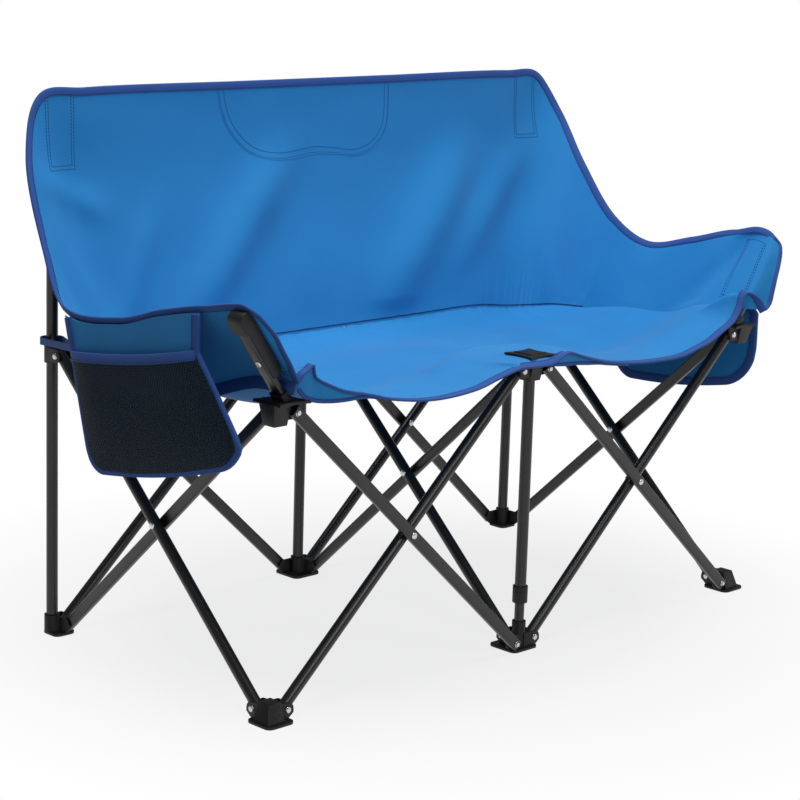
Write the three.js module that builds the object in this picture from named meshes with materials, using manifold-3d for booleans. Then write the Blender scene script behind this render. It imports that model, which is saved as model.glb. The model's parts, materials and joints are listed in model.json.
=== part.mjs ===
// Folding two-seat camp chair: six leg stations joined by seven scissor pairs, with a cloth sling.
// Millimetres. X runs across the seat, Y from front to back, Z up. The origin is on the floor, in the middle.
import * as THREE from 'three';
import { ConvexGeometry } from 'three/addons/geometries/ConvexGeometry.js';
import { mergeVertices } from 'three/addons/utils/BufferGeometryUtils.js';
import Module from 'manifold-3d';

const wasm = await Module();
wasm.setup();

// Frame layout
const BAY = 530; // between neighbouring leg stations, across and front to back
const FOOT_PIVOT_Z = 16;
const HUB_PIVOT_Z = 458;
const PIVOT_OUT = 25; // a pivot from the axis of its station
const UPRIGHT_TOP_Z = 852;

// Tubes
const TUBE_WALL = 1.2;
const UPRIGHT_OD = 19;
const ROUND_OD = 18;
const FLAT_WIDTH = 19;
const FLAT_THICK = 11;
const FLAT_CORNER = 3.5;
const TUBE_TIP = 6; // a cross tube runs on past its pivot
const POST_JOINT_Z = 81; // lower end of the middle post's outer tube
const POST_INNER_TOP_Z = 386;
const ARM_WIDTH = 22;
const ARM_THICK = 12;
const ARM_CORNER = 4;
const ARM_LEAN = 35; // degrees outwards
const ARM_RISE = 148; // length of the arm post
const ARM_INSET = 12; // arm post and hub plate, inside the station
const ARM_LIFT = 2; // middle of the arm post's lower end, above the plate

// Fits
const SEAT_GAP = 0.3; // between pieces that touch
const SLIDE_GAP = 0.4; // round a tube that slides
const EAR_GAP = 0.5; // beside a tube that turns
const CROSS_GAP = 1; // between the two tubes of a pair

// Rivets
const PIN_R = 2.6;
const HEAD_R = 5;
const HEAD_THICK = 1.8;
const WASHER_R = 6;

// Moulded feet, hubs and sliders
const SOCKET_WALL = 2.8;
const EAR_THICK = 3.2;
const EAR_R = 11;
const FOOT_PAD_THICK = 4;
const FOOT_PAD_CORNER = 10;
const FOOT_SOCKET_Z = 5; // floor of the socket
const FOOT_TOP_Z = 31;
const POST_SOCKET_TOP_Z = 46; // on the foot of the middle post
const BLOCK_INNER = 13; // faces of a moulded block beside the tubes' tips
const BLOCK_OUTER = 20; // and on its free sides
const BLOCK_NARROW = 12; // at its narrow end
const HUB_ROOF = 2.2; // above the highest reach of a tube's tip
const HUB_PLATE_THICK = 4.5;
const HUB_PLATE_HALF = 29;
const HUB_PLATE_HOLLOW = 5; // how far the plate's sides curve in
const HUB_SKIRT = 18; // core below the pivots
const HUB_COLLAR = 12; // length of the arm post's collar
const SLIDER_HALF = 14;
const FERRULE_WALL = 2.4;
const FERRULE_LENGTH = 27;
const FERRULE_LIP = 4;
const CAP_THICK = 3.5;
const CAP_RIDGE = 2.2;
const CAP_RIDGE_HALF = 18;
const GUARD_THICK = 8;
const GUARD_WIDTH = 30;
const GUARD_LENGTH = 105;
const GUARD_OVER = 7; // past the end of the arm post
const GUARD_CAP = 22; // length of its cap on the arm post's outer face
const GUARD_SHORT = 3; // its sides stop short of that face

// Cloth
const CLOTH = 2.5;
const CLOTH_GAP = 2.5; // arm cloth from its guard
const SEAM_Y = 172; // where seat and back are sewn, at the middle
const SEAM_Z = 456;
const SEAM_CORNER_Z = 447;
const SEAM_CORNER_IN = 18; // rear corner of the seat, inside the station
const SEAM_CORNER_DROP = 32; // and forward of the seam's middle
const SEAM_FRONT_OUT = 6; // ahead of the front stations
const SEAM_STEP = 6; // small rises along the seam and the edge
const CORNER_RUN = 45; // between the seam's knots at the rear corner
const ARM_KNOT = 0.76; // knots along the side, as shares of the way to the front
const SIDE_KNOT = 0.38;
const BACK_KNOT = 0.64; // knots along the back, as shares of a bay
const EDGE_KNOT = 0.9;
const MIDDLE_KNOT = 0.32;
const SEAT_SIDE_OUT = 11; // side of the seat, outside the station
const SEAT_SIDE_Z = 462;
const SEAT_FRONT_OUT = 23; // front hem ahead of the front stations
const SEAT_HUB_OUT = 6; // and further ahead of the middle hub
const SEAT_DIP = 38; // front hem between two hubs, below the hub
const SEAT_SAG = 14;
const SAG_POWER = 4; // how squarely the sag and the corners are cut
const LIFT_POWER = 6;
const TUCK_POWER = 8;
const SEAM_GAP = 2.5; // seat cloth from the wall that it is sewn to
const HUB_REST_R = 84; // cloth lies flat on the middle hub
const HUB_FALL_R = 220;
const ARM_EDGE_OUT = 74; // arm's top edge outside the station
const ARM_EDGE_Z = 577; // that edge on the right, at its lowest
const ARM_FRONT_OUT = 22;
const ARM_SEAM_UP = 20; // arm's seam along the arm post
const ARM_CLOTH_OVER = 12; // arm's top edge past the arm post
const ARM_FRONT_DROP = 22; // front corner of that edge, back along the arm post
const BACK_OVER = 20; // back's top edge above the uprights
const BACK_SHOULDER_OUT = 32; // its upper corner outside the station
// The wing's edge: knots above ARM_EDGE_Z and ahead of the back. It hangs lower on the left.
const WINGS = {
  left: { side: 11, low: -16, corner: -16, cornerAhead: 116, turn: 63, turnAhead: 68, drop: 97, ahead: 26 },
  right: { side: 20, low: 0, corner: 37, cornerAhead: 172, turn: 129, turnAhead: 91, drop: 77, ahead: 29 },
};
const SLEEVE_WIDTH = 52;
const SLEEVE_HEIGHT = 114;
const SLEEVE_WALL = 2;
const BAG_CLOTH = 2;
const BAG_GAP = 1.3; // bag from the arm's top edge
const BAG_TOP_REAR_Y = 132;
const BAG_TOP_FRONT_Y = -188;
// How each bag hangs: ends of its top above ARM_EDGE_Z, and its front corner
const BAGS = {
  left: { frontTop: 20, rearTop: -20, flare: -280 },
  right: { frontTop: -3, rearTop: -3, flare: -250 },
};
const BAG_BOTTOM_REAR_Y = 58;
const BAG_NECK_Z = 542; // front edge starts to flare
const BAG_FRONT_Z = 414;
const BAG_BOTTOM_FRONT_Z = 384;
const BAG_BOTTOM_Z = 322;
const BAG_CORNER = 34;
const BAG_NECK_R = 12;
const POCKET_INSET = 4;
const POCKET_REAR_Z = 491;
const POCKET_FRONT_Z = 526;
const POCKET_DEPTH = 15;
const STRAP_WIDTH = 14;
const STRAP_THICK = 1.8;
const STRAP_LIFT = 20; // strap above the slider

// Facets: round a full circle, round one arc, and along and across a sheet of cloth
const ROUND_SIDES = 12;
const BORE_SIDES = 8;
const HOLE_SIDES = 6;
const HEAD_SIDES = 8;
const SOCKET_SIDES = 16;
const ARC = 3;
const TUBE_ARC = 2;
const SLEEVE_ARC = 10;
const STEP_FACETS = 2; // along the seam, alike on both sides of it
const BACK_ROWS = 6;
const ARM_ROWS = 4;

const { lerp, smoothstep, clamp, degToRad } = THREE.MathUtils;
const Z_AXIS = new THREE.Vector3(0, 0, 1);
const STATION_ROWS = { front: -BAY / 2, rear: BAY / 2 };
const STATION_COLUMNS = { left: -BAY, middle: 0, right: BAY };

const HUB_TIP_TOP_Z = HUB_PIVOT_Z + Math.hypot(TUBE_TIP, FLAT_WIDTH / 2);
const HUB_EAR_TOP_Z = HUB_TIP_TOP_Z + HUB_ROOF;
const HUB_TOP_Z = HUB_EAR_TOP_Z + HUB_PLATE_THICK;
const SOCKET_R = UPRIGHT_OD / 2 + SLIDE_GAP + SOCKET_WALL;
const BACK_TOP_Z = UPRIGHT_TOP_Z + BACK_OVER;
const STRAP_Z = HUB_PIVOT_Z + SLIDER_HALF + STRAP_LIFT;
const POST_INNER_OD = UPRIGHT_OD - 2 * TUBE_WALL - 2 * SEAT_GAP;

function paint(color, roughness, metalness) {
  return new THREE.MeshStandardMaterial({ color, roughness, metalness });
}

const BLACK_STEEL = paint(0x2b2c2e, 0.45, 0.6);
const BLACK_PLASTIC = paint(0x161718, 0.55, 0);
const ZINC = paint(0xc9ccd0, 0.3, 1);
const BLUE_CLOTH = paint(0x1f6fbf, 0.85, 0);
const NAVY_WEB = paint(0x1e3f86, 0.85, 0);
const DARK_MESH = paint(0x10182a, 0.9, 0);

const chair = new THREE.Group();

function add(name, geometry, material) {
  const mesh = new THREE.Mesh(geometry, material);
  mesh.name = name;
  chair.add(mesh);
}

// Booleans work on closed meshes that hold positions alone
function solid(geometry) {
  const bare = geometry.clone();
  for (const attribute of ['normal', 'uv']) {
    bare.deleteAttribute(attribute);
  }
  const merged = mergeVertices(bare, 1e-4);
  const vertProperties = new Float32Array(merged.attributes.position.array);
  const triVerts = new Uint32Array(merged.index.array);
  return new wasm.Manifold(new wasm.Mesh({ numProp: 3, vertProperties, triVerts }));
}

function geometryOf(manifold) {
  const { vertProperties, triVerts, numProp } = manifold.getMesh();
  const count = vertProperties.length / numProp;
  const positions = new Float32Array(count * 3);
  for (let i = 0; i < count; i += 1) {
    positions.set(vertProperties.subarray(i * numProp, i * numProp + 3), i * 3);
  }
  const geometry = new THREE.BufferGeometry();
  geometry.setAttribute('position', new THREE.BufferAttribute(positions, 3));
  geometry.setIndex(new THREE.BufferAttribute(new Uint32Array(triVerts), 1));
  geometry.computeVertexNormals();
  return geometry;
}

function join(solids) {
  return solids.reduce((whole, piece) => whole.add(piece));
}

function extrude(shape, depth, curveSegments = ARC) {
  return new THREE.ExtrudeGeometry(shape, { depth, bevelEnabled: false, steps: 1, curveSegments });
}

// Sections
function circleShape(radius, sides) {
  const points = [];
  for (let i = 0; i < sides; i += 1) {
    const angle = (2 * Math.PI * (i + 0.5)) / sides;
    points.push(new THREE.Vector2(radius * Math.cos(angle), radius * Math.sin(angle)));
  }
  return new THREE.Shape(points);
}

function roundedRectangle(width, height, corner) {
  const x = width / 2;
  const y = height / 2;
  const shape = new THREE.Shape();
  shape.moveTo(-x + corner, -y);
  shape.lineTo(x - corner, -y);
  shape.absarc(x - corner, -y + corner, corner, -Math.PI / 2, 0);
  shape.lineTo(x, y - corner);
  shape.absarc(x - corner, y - corner, corner, 0, Math.PI / 2);
  shape.lineTo(-x + corner, y);
  shape.absarc(-x + corner, y - corner, corner, Math.PI / 2, Math.PI);
  shape.lineTo(-x, -y + corner);
  shape.absarc(-x + corner, -y + corner, corner, Math.PI, 1.5 * Math.PI);
  return shape;
}

function roundSection(diameter, boreSides = ROUND_SIDES) {
  const section = circleShape(diameter / 2, ROUND_SIDES);
  section.holes.push(circleShape(diameter / 2 - TUBE_WALL, boreSides));
  return section;
}

function flatSection(width, thick, corner) {
  const section = roundedRectangle(width, thick, corner);
  const inner = [width - 2 * TUBE_WALL, thick - 2 * TUBE_WALL, corner - TUBE_WALL];
  section.holes.push(roundedRectangle(...inner));
  return section;
}

function upright(section, from, to) {
  return extrude(section, to - from).translate(0, 0, from);
}

function standing(radius, from, to, sides = SOCKET_SIDES) {
  const cylinder = new THREE.CylinderGeometry(radius, radius, to - from, sides);
  return cylinder.rotateX(Math.PI / 2).translate(0, 0, (from + to) / 2);
}

// A pair's tubes: the riser goes from a station's foot to its neighbour's hub, in the stations' plane.
// The strut goes from the first hub to the second foot, on one side of the riser.
function bay(name, a, b, strutSide, strutKind) {
  const from = new THREE.Vector3(STATION_COLUMNS[a[1]], STATION_ROWS[a[0]], 0);
  const to = new THREE.Vector3(STATION_COLUMNS[b[1]], STATION_ROWS[b[0]], 0);
  const along = to.clone().sub(from).normalize();
  const normal = new THREE.Vector3(Math.abs(along.y), Math.abs(along.x), 0);
  const thick = strutKind === 'flat' ? FLAT_THICK : ROUND_OD;
  const strutOffset = strutSide * (ROUND_OD / 2 + CROSS_GAP + thick / 2);
  return { name, a, b, from, to, along, normal, strutSide, strutKind, strutThick: thick, strutOffset };
}

const BAYS = [
  bay('front_left', ['front', 'left'], ['front', 'middle'], -1, 'flat'),
  bay('front_right', ['front', 'middle'], ['front', 'right'], -1, 'flat'),
  bay('rear_left', ['rear', 'left'], ['rear', 'middle'], 1, 'flat'),
  bay('rear_right', ['rear', 'middle'], ['rear', 'right'], 1, 'flat'),
  bay('side_left', ['front', 'left'], ['rear', 'left'], 1, 'flat'),
  bay('side_middle', ['front', 'middle'], ['rear', 'middle'], 1, 'round'),
  bay('side_right', ['front', 'right'], ['rear', 'right'], 1, 'flat'),
];

function pivot(station, along, sense, z, normal, offset) {
  const point = station.clone().addScaledVector(along, sense * PIVOT_OUT).addScaledVector(normal, offset);
  return point.setZ(z);
}

function crossTube(foot, hub, normal, kind) {
  const axis = hub.clone().sub(foot);
  const span = axis.length();
  axis.normalize();
  const flat = kind === 'flat';
  const section = flat
    ? flatSection(FLAT_WIDTH, FLAT_THICK, FLAT_CORNER)
    : roundSection(ROUND_OD, BORE_SIDES);
  const length = span + 2 * TUBE_TIP;
  let tube = solid(extrude(section, length, TUBE_ARC).translate(0, 0, -length / 2));
  for (const place of [-span / 2, 0, span / 2]) {
    const radius = (PIN_R + SEAT_GAP) / Math.cos(Math.PI / HOLE_SIDES); // its flats clear the pin
    const drill = new THREE.CylinderGeometry(radius, radius, 2 * FLAT_WIDTH, HOLE_SIDES);
    tube = tube.subtract(solid(drill.translate(0, 0, place)));
  }
  const across = normal.clone().cross(axis);
  const place = new THREE.Matrix4().makeBasis(across, normal, axis);
  place.setPosition(foot.clone().add(hub).multiplyScalar(0.5));
  return geometryOf(tube).applyMatrix4(place);
}

// A rivet through both tubes, with a washer between them
function crossRivet(centre, normal, strutSide, strutThick) {
  const riserFace = ROUND_OD / 2;
  const strutFace = riserFace + CROSS_GAP;
  const strutEnd = strutFace + strutThick;
  const low = -riserFace - SEAT_GAP;
  const high = strutEnd + SEAT_GAP;
  const profile = [
    [0, low - HEAD_THICK],
    [HEAD_R - HEAD_THICK, low - HEAD_THICK],
    [HEAD_R, low],
    [PIN_R, low],
    [PIN_R, riserFace + SEAT_GAP],
    [WASHER_R, riserFace + SEAT_GAP],
    [WASHER_R, strutFace - SEAT_GAP],
    [PIN_R, strutFace - SEAT_GAP],
    [PIN_R, high],
    [HEAD_R, high],
    [HEAD_R - HEAD_THICK, high + HEAD_THICK],
    [0, high + HEAD_THICK],
  ].map(([radius, height]) => new THREE.Vector2(radius, height));
  const rivet = new THREE.LatheGeometry(profile, HEAD_SIDES);
  const direction = normal.clone().multiplyScalar(strutSide);
  const turn = new THREE.Quaternion().setFromUnitVectors(new THREE.Vector3(0, 1, 0), direction);
  return rivet.applyQuaternion(turn).translate(...centre);
}

for (const { name, from, to, along, normal, strutSide, strutKind, strutThick, strutOffset } of BAYS) {
  const riserFoot = pivot(from, along, 1, FOOT_PIVOT_Z, normal, 0);
  const riserHub = pivot(to, along, -1, HUB_PIVOT_Z, normal, 0);
  const strutHub = pivot(from, along, 1, HUB_PIVOT_Z, normal, strutOffset);
  const strutFoot = pivot(to, along, -1, FOOT_PIVOT_Z, normal, strutOffset);
  add(`riser_${name}`, crossTube(riserFoot, riserHub, normal, 'round'), BLACK_STEEL);
  add(`strut_${name}`, crossTube(strutFoot, strutHub, normal, strutKind), BLACK_STEEL);
  const centre = riserFoot.clone().add(riserHub).multiplyScalar(0.5);
  add(`rivet_${name}`, crossRivet(centre, normal, strutSide, strutThick), ZINC);
}

// The tube ends at one station: where each leaves it, which tube it is, and at which end
function tubeEnds(row, column, level) {
  const ends = [];
  for (const spec of BAYS) {
    const atFirst = spec.a[0] === row && spec.a[1] === column;
    const atSecond = spec.b[0] === row && spec.b[1] === column;
    if (atFirst || atSecond) {
      const isRiser = atFirst === (level === 'foot');
      const along = spec.along.clone().multiplyScalar(atFirst ? 1 : -1);
      ends.push({ along, normal: spec.normal, isRiser, side: spec.strutSide, thick: spec.strutThick });
    }
  }
  return ends;
}

// A plate drawn in the upright plane that holds the tube, from one offset to another along its normal
function earPlate(shape, along, normal, from, to) {
  const out = along.clone().cross(Z_AXIS);
  const sense = Math.sign(out.dot(normal));
  const start = Math.min(sense * from, sense * to);
  const plate = extrude(shape, Math.abs(to - from)).translate(0, 0, start);
  return plate.applyMatrix4(new THREE.Matrix4().makeBasis(along, Z_AXIS, out));
}

function pinAcross(along, normal, z, radius, sides, from, to) {
  const pin = new THREE.CylinderGeometry(radius, radius, Math.abs(to - from), sides);
  const turn = new THREE.Quaternion().setFromUnitVectors(new THREE.Vector3(0, 1, 0), normal);
  const middle = along.clone().multiplyScalar(PIVOT_OUT).addScaledVector(normal, (from + to) / 2);
  return pin.applyQuaternion(turn).translate(middle.x, middle.y, z);
}

// A riser turns in a fork of two ears. A strut turns on the outside of one ear.
function earsAndPins(ends, z, shape) {
  const pieces = [];
  for (const { along, normal, isRiser, side, thick } of ends) {
    const riserEar = ROUND_OD / 2 + EAR_GAP;
    const strutFace = ROUND_OD / 2 + CROSS_GAP;
    const spans = isRiser
      ? [[riserEar, riserEar + EAR_THICK], [-riserEar - EAR_THICK, -riserEar]]
      : [[side * (strutFace - EAR_GAP - EAR_THICK), side * (strutFace - EAR_GAP)]];
    for (const [from, to] of spans) {
      pieces.push(earPlate(shape, along, normal, from, to));
    }
    const reach = isRiser ? riserEar + EAR_THICK : strutFace + thick + SEAT_GAP;
    const back = isRiser ? -reach : side * (strutFace - EAR_GAP - EAR_THICK);
    const front = isRiser ? reach : side * reach;
    pieces.push(pinAcross(along, normal, z, PIN_R, HOLE_SIDES, back, front));
    const headSide = isRiser ? -1 : side;
    const head = [headSide * reach, headSide * (reach + HEAD_THICK)];
    pieces.push(pinAcross(along, normal, z, HEAD_R, HEAD_SIDES, ...head));
  }
  return pieces.map(solid);
}

// A block round a station's axis, wider at one end. outX and outY point away from the tubes there, or are 0.
function block(outX, outY, wideZ, narrowZ) {
  const faces = (out) => (out ? [-out * BLOCK_INNER, out * BLOCK_OUTER] : [-BLOCK_INNER, BLOCK_INNER]);
  const corners = [];
  for (const i of [0, 1]) {
    for (const j of [0, 1]) {
      corners.push(new THREE.Vector3(faces(outX)[i], faces(outY)[j], wideZ));
      const narrow = [i ? BLOCK_NARROW : -BLOCK_NARROW, j ? BLOCK_NARROW : -BLOCK_NARROW];
      corners.push(new THREE.Vector3(...narrow, narrowZ));
    }
  }
  return solid(new ConvexGeometry(corners));
}

// Feet: a rounded square pad, the ears of the tubes, and a socket for the post or a sloping block instead.
// A pad's middle is not at its station: out is away from the chair's middle, back is towards the rear.
const FOOT_PADS = {
  front: { corner: { half: 26, out: 0, back: -3.5 }, middle: { half: 29, out: 0, back: 10 } },
  rear: { corner: { half: 20, out: -8, back: -8 }, middle: { half: 29.5, out: 0, back: 0 } },
};

function footEar() {
  const reach = PIVOT_OUT + EAR_R;
  const shape = new THREE.Shape();
  shape.moveTo(0, FOOT_PAD_THICK / 2);
  shape.lineTo(PIVOT_OUT, FOOT_PAD_THICK / 2);
  shape.lineTo(reach, FOOT_PIVOT_Z - EAR_R / 2);
  shape.lineTo(reach, FOOT_PIVOT_Z);
  shape.absarc(PIVOT_OUT, FOOT_PIVOT_Z, EAR_R, 0, Math.PI / 2);
  shape.lineTo(0, FOOT_PIVOT_Z + EAR_R);
  return shape;
}

function foot(row, column, postOD, top) {
  const outX = Math.sign(STATION_COLUMNS[column]);
  const outY = Math.sign(STATION_ROWS[row]);
  const { half, out, back } = FOOT_PADS[row][outX ? 'corner' : 'middle'];
  const pad = extrude(roundedRectangle(2 * half, 2 * half, FOOT_PAD_CORNER), FOOT_PAD_THICK);
  const pieces = [
    solid(pad.translate(outX * out, back, 0)),
    ...earsAndPins(tubeEnds(row, column, 'foot'), FOOT_PIVOT_Z, footEar()),
  ];
  if (!postOD) {
    return join([...pieces, block(outX, outY, FOOT_PAD_THICK / 2, top)]);
  }
  const inner = postOD / 2 + SEAT_GAP;
  pieces.push(solid(standing(inner + SOCKET_WALL, FOOT_PAD_THICK / 2, top)));
  return join(pieces).subtract(solid(standing(inner, FOOT_SOCKET_Z, top + SOCKET_WALL)));
}

// Front hubs: ears under a square plate with hollow sides, a core that takes the middle post, and a leaning
// collar that takes an arm post
function hollowSquare(half, hollow) {
  const shape = new THREE.Shape();
  const middle = half - 2 * hollow;
  shape.moveTo(-half, -half);
  shape.quadraticCurveTo(0, -middle, half, -half);
  shape.quadraticCurveTo(middle, 0, half, half);
  shape.quadraticCurveTo(0, middle, -half, half);
  shape.quadraticCurveTo(-middle, 0, -half, -half);
  return shape;
}

function hubEar() {
  const reach = PIVOT_OUT + EAR_R;
  const shape = new THREE.Shape();
  shape.moveTo(0, HUB_EAR_TOP_Z + HUB_PLATE_THICK / 2);
  shape.lineTo(0, HUB_PIVOT_Z - EAR_R);
  shape.lineTo(PIVOT_OUT, HUB_PIVOT_Z - EAR_R);
  shape.absarc(PIVOT_OUT, HUB_PIVOT_Z, EAR_R, -Math.PI / 2, 0);
  shape.lineTo(reach, HUB_EAR_TOP_Z + HUB_PLATE_THICK / 2);
  return shape;
}

function hub(column) {
  const outX = Math.sign(STATION_COLUMNS[column]);
  const plate = extrude(hollowSquare(HUB_PLATE_HALF, HUB_PLATE_HOLLOW), HUB_PLATE_THICK);
  const pieces = [
    solid(plate.translate(-outX * ARM_INSET, 0, HUB_EAR_TOP_Z)),
    block(outX, -1, HUB_EAR_TOP_Z + HUB_PLATE_THICK / 2, HUB_PIVOT_Z - HUB_SKIRT),
    ...earsAndPins(tubeEnds('front', column, 'hub'), HUB_PIVOT_Z, hubEar()),
  ];
  if (!outX) {
    const bore = standing(UPRIGHT_OD / 2 + SEAT_GAP, HUB_PIVOT_Z - 2 * HUB_SKIRT, HUB_EAR_TOP_Z);
    return join(pieces).subtract(solid(bore));
  }
  const sense = [outX, 1, 1];
  const collar = armBox(SOCKET_WALL, -HUB_COLLAR, HUB_COLLAR).trimByPlane([0, 0, 1], HUB_EAR_TOP_Z);
  const socket = armBox(SEAT_GAP, -SEAT_GAP, 2 * HUB_COLLAR);
  return join([...pieces, collar.scale(sense)]).subtract(socket.scale(sense));
}

// Rear sliders: a collar on the upright with the ears of the tubes
function sliderEar() {
  const shape = new THREE.Shape();
  shape.moveTo(0, HUB_PIVOT_Z + EAR_R);
  shape.lineTo(0, HUB_PIVOT_Z - EAR_R);
  shape.lineTo(PIVOT_OUT, HUB_PIVOT_Z - EAR_R);
  shape.absarc(PIVOT_OUT, HUB_PIVOT_Z, EAR_R, -Math.PI / 2, Math.PI / 2);
  return shape;
}

function slider(column) {
  const collar = solid(standing(SOCKET_R, HUB_PIVOT_Z - SLIDER_HALF, HUB_PIVOT_Z + SLIDER_HALF));
  const ears = earsAndPins(tubeEnds('rear', column, 'hub'), HUB_PIVOT_Z, sliderEar());
  const reach = 2 * SLIDER_HALF;
  const bore = standing(UPRIGHT_OD / 2 + SLIDE_GAP, HUB_PIVOT_Z - reach, HUB_PIVOT_Z + reach);
  return join([collar, ...ears]).subtract(solid(bore));
}

function place(manifold, row, column) {
  return geometryOf(manifold).translate(STATION_COLUMNS[column], STATION_ROWS[row], 0);
}

// The arm post leans out of its hub. It is drawn on its own axes, inwards, to the front and up, then turned.
const LEAN = degToRad(ARM_LEAN);
const ARM_UP = new THREE.Vector3(Math.sin(LEAN), 0, Math.cos(LEAN));
const ARM_IN = new THREE.Vector3(-Math.cos(LEAN), 0, Math.sin(LEAN));
const ARM_FRONT = ARM_UP.clone().cross(ARM_IN);
const ARM_ROOT = new THREE.Vector3(BAY - ARM_INSET, STATION_ROWS.front, HUB_TOP_Z + ARM_LIFT);
const ARM_TURN = new THREE.Matrix4().makeBasis(ARM_IN, ARM_FRONT, ARM_UP).setPosition(ARM_ROOT);

function armPoint(up, inwards) {
  return ARM_ROOT.clone().addScaledVector(ARM_UP, up).addScaledVector(ARM_IN, inwards);
}

function armPost() {
  return extrude(flatSection(ARM_THICK, ARM_WIDTH, ARM_CORNER), ARM_RISE).applyMatrix4(ARM_TURN);
}

// The room of the arm post and some wall round it, from the hub's station
function armBox(wall, from, to) {
  const section = roundedRectangle(ARM_THICK + 2 * wall, ARM_WIDTH + 2 * wall, ARM_CORNER);
  const box = extrude(section, to - from).translate(0, 0, from).applyMatrix4(ARM_TURN);
  return solid(box.translate(-BAY, -STATION_ROWS.front, 0));
}

// The guard is a channel on the inner face and the sides of the arm post, with a cap over its end
function armGuard() {
  const face = ARM_THICK / 2 + SEAT_GAP;
  const outer = face + GUARD_THICK;
  const cap = -face - GUARD_SHORT;
  const from = ARM_RISE - GUARD_LENGTH;
  const top = ARM_RISE + GUARD_OVER;
  const shape = new THREE.Shape();
  shape.moveTo(cap, from);
  shape.lineTo(outer - GUARD_THICK / 3, from);
  shape.lineTo(outer, from + GUARD_THICK);
  shape.lineTo(outer, top - GUARD_THICK);
  shape.quadraticCurveTo(outer, top, outer - GUARD_THICK, top);
  shape.quadraticCurveTo(cap, top, cap, ARM_RISE - GUARD_OVER);
  const side = GUARD_WIDTH / 2;
  const body = extrude(shape, GUARD_WIDTH).rotateX(Math.PI / 2).translate(0, side, 0);
  const slot = roundedRectangle(2 * face, ARM_WIDTH + 2 * SEAT_GAP, ARM_CORNER);
  const room = extrude(slot, ARM_RISE + SEAT_GAP);
  const open = new THREE.BoxGeometry(2 * face, 2 * GUARD_WIDTH, ARM_RISE - GUARD_CAP);
  open.translate(GUARD_SHORT - 2 * face, 0, (ARM_RISE - GUARD_CAP) / 2);
  const guard = solid(body).subtract(solid(room)).subtract(solid(open));
  return geometryOf(guard).applyMatrix4(ARM_TURN);
}

// A mirrored copy for the left side, with its triangles turned to face out again
function mirrored(geometry) {
  const copy = mergeVertices(geometry.clone());
  copy.scale(-1, 1, 1);
  const index = copy.index.array;
  for (let i = 0; i < index.length; i += 3) {
    [index[i], index[i + 1]] = [index[i + 1], index[i]];
  }
  copy.computeVertexNormals();
  return copy;
}

function addPair(name, rightGeometry, material) {
  add(`${name}_left`, mirrored(rightGeometry), material);
  add(`${name}_right`, rightGeometry, material);
}

for (const column of Object.keys(STATION_COLUMNS)) {
  const rearPost = upright(roundSection(UPRIGHT_OD), FOOT_SOCKET_Z + SEAT_GAP, UPRIGHT_TOP_Z);
  const rearFoot = foot('rear', column, UPRIGHT_OD, FOOT_TOP_Z);
  const postEnd = column === 'middle' ? [POST_INNER_OD, POST_SOCKET_TOP_Z] : [0, FOOT_TOP_Z];
  const frontFoot = foot('front', column, ...postEnd);
  add(`foot_rear_${column}`, place(rearFoot, 'rear', column), BLACK_PLASTIC);
  add(`upright_${column}`, rearPost.translate(STATION_COLUMNS[column], STATION_ROWS.rear, 0), BLACK_STEEL);
  add(`slider_${column}`, place(slider(column), 'rear', column), BLACK_PLASTIC);
  add(`foot_front_${column}`, place(frontFoot, 'front', column), BLACK_PLASTIC);
  add(`hub_${column}`, place(hub(column), 'front', column), BLACK_PLASTIC);
}

// The middle post telescopes: its outer tube hangs from the hub and slides on the inner one
function ferrule() {
  const outside = UPRIGHT_OD / 2 + SEAT_GAP + FERRULE_WALL;
  const from = POST_JOINT_Z - FERRULE_LIP;
  const body = solid(standing(outside, from, from + FERRULE_LENGTH));
  const tubeBore = standing(UPRIGHT_OD / 2 + SEAT_GAP, POST_JOINT_Z - SEAT_GAP, from + 2 * FERRULE_LENGTH);
  const slideBore = standing(POST_INNER_OD / 2 + SLIDE_GAP, from - FERRULE_LIP, POST_JOINT_Z);
  return body.subtract(solid(tubeBore)).subtract(solid(slideBore));
}

const outerPost = upright(roundSection(UPRIGHT_OD), POST_JOINT_Z, HUB_EAR_TOP_Z - SEAT_GAP);
const innerPost = upright(roundSection(POST_INNER_OD), FOOT_SOCKET_Z + SEAT_GAP, POST_INNER_TOP_Z);
add('post_outer', outerPost.translate(0, STATION_ROWS.front, 0), BLACK_STEEL);
add('post_inner', innerPost.translate(0, STATION_ROWS.front, 0), BLACK_STEEL);
add('post_ferrule', place(ferrule(), 'front', 'middle'), BLACK_PLASTIC);

// The cap clamps the seat cloth to the middle hub
function seatCap() {
  const from = HUB_TOP_Z + CLOTH + 2 * SEAT_GAP;
  const plate = extrude(hollowSquare(HUB_PLATE_HALF, HUB_PLATE_HOLLOW), CAP_THICK);
  const ridge = extrude(hollowSquare(CAP_RIDGE_HALF, HUB_PLATE_HOLLOW / 2), CAP_THICK + CAP_RIDGE);
  return join([solid(plate.translate(0, 0, from)), solid(ridge.translate(0, 0, from))]);
}

add('seat_cap', place(seatCap(), 'front', 'middle'), BLACK_PLASTIC);
addPair('arm_post', armPost(), BLACK_STEEL);
addPair('arm_guard', armGuard(), BLACK_PLASTIC);

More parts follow.
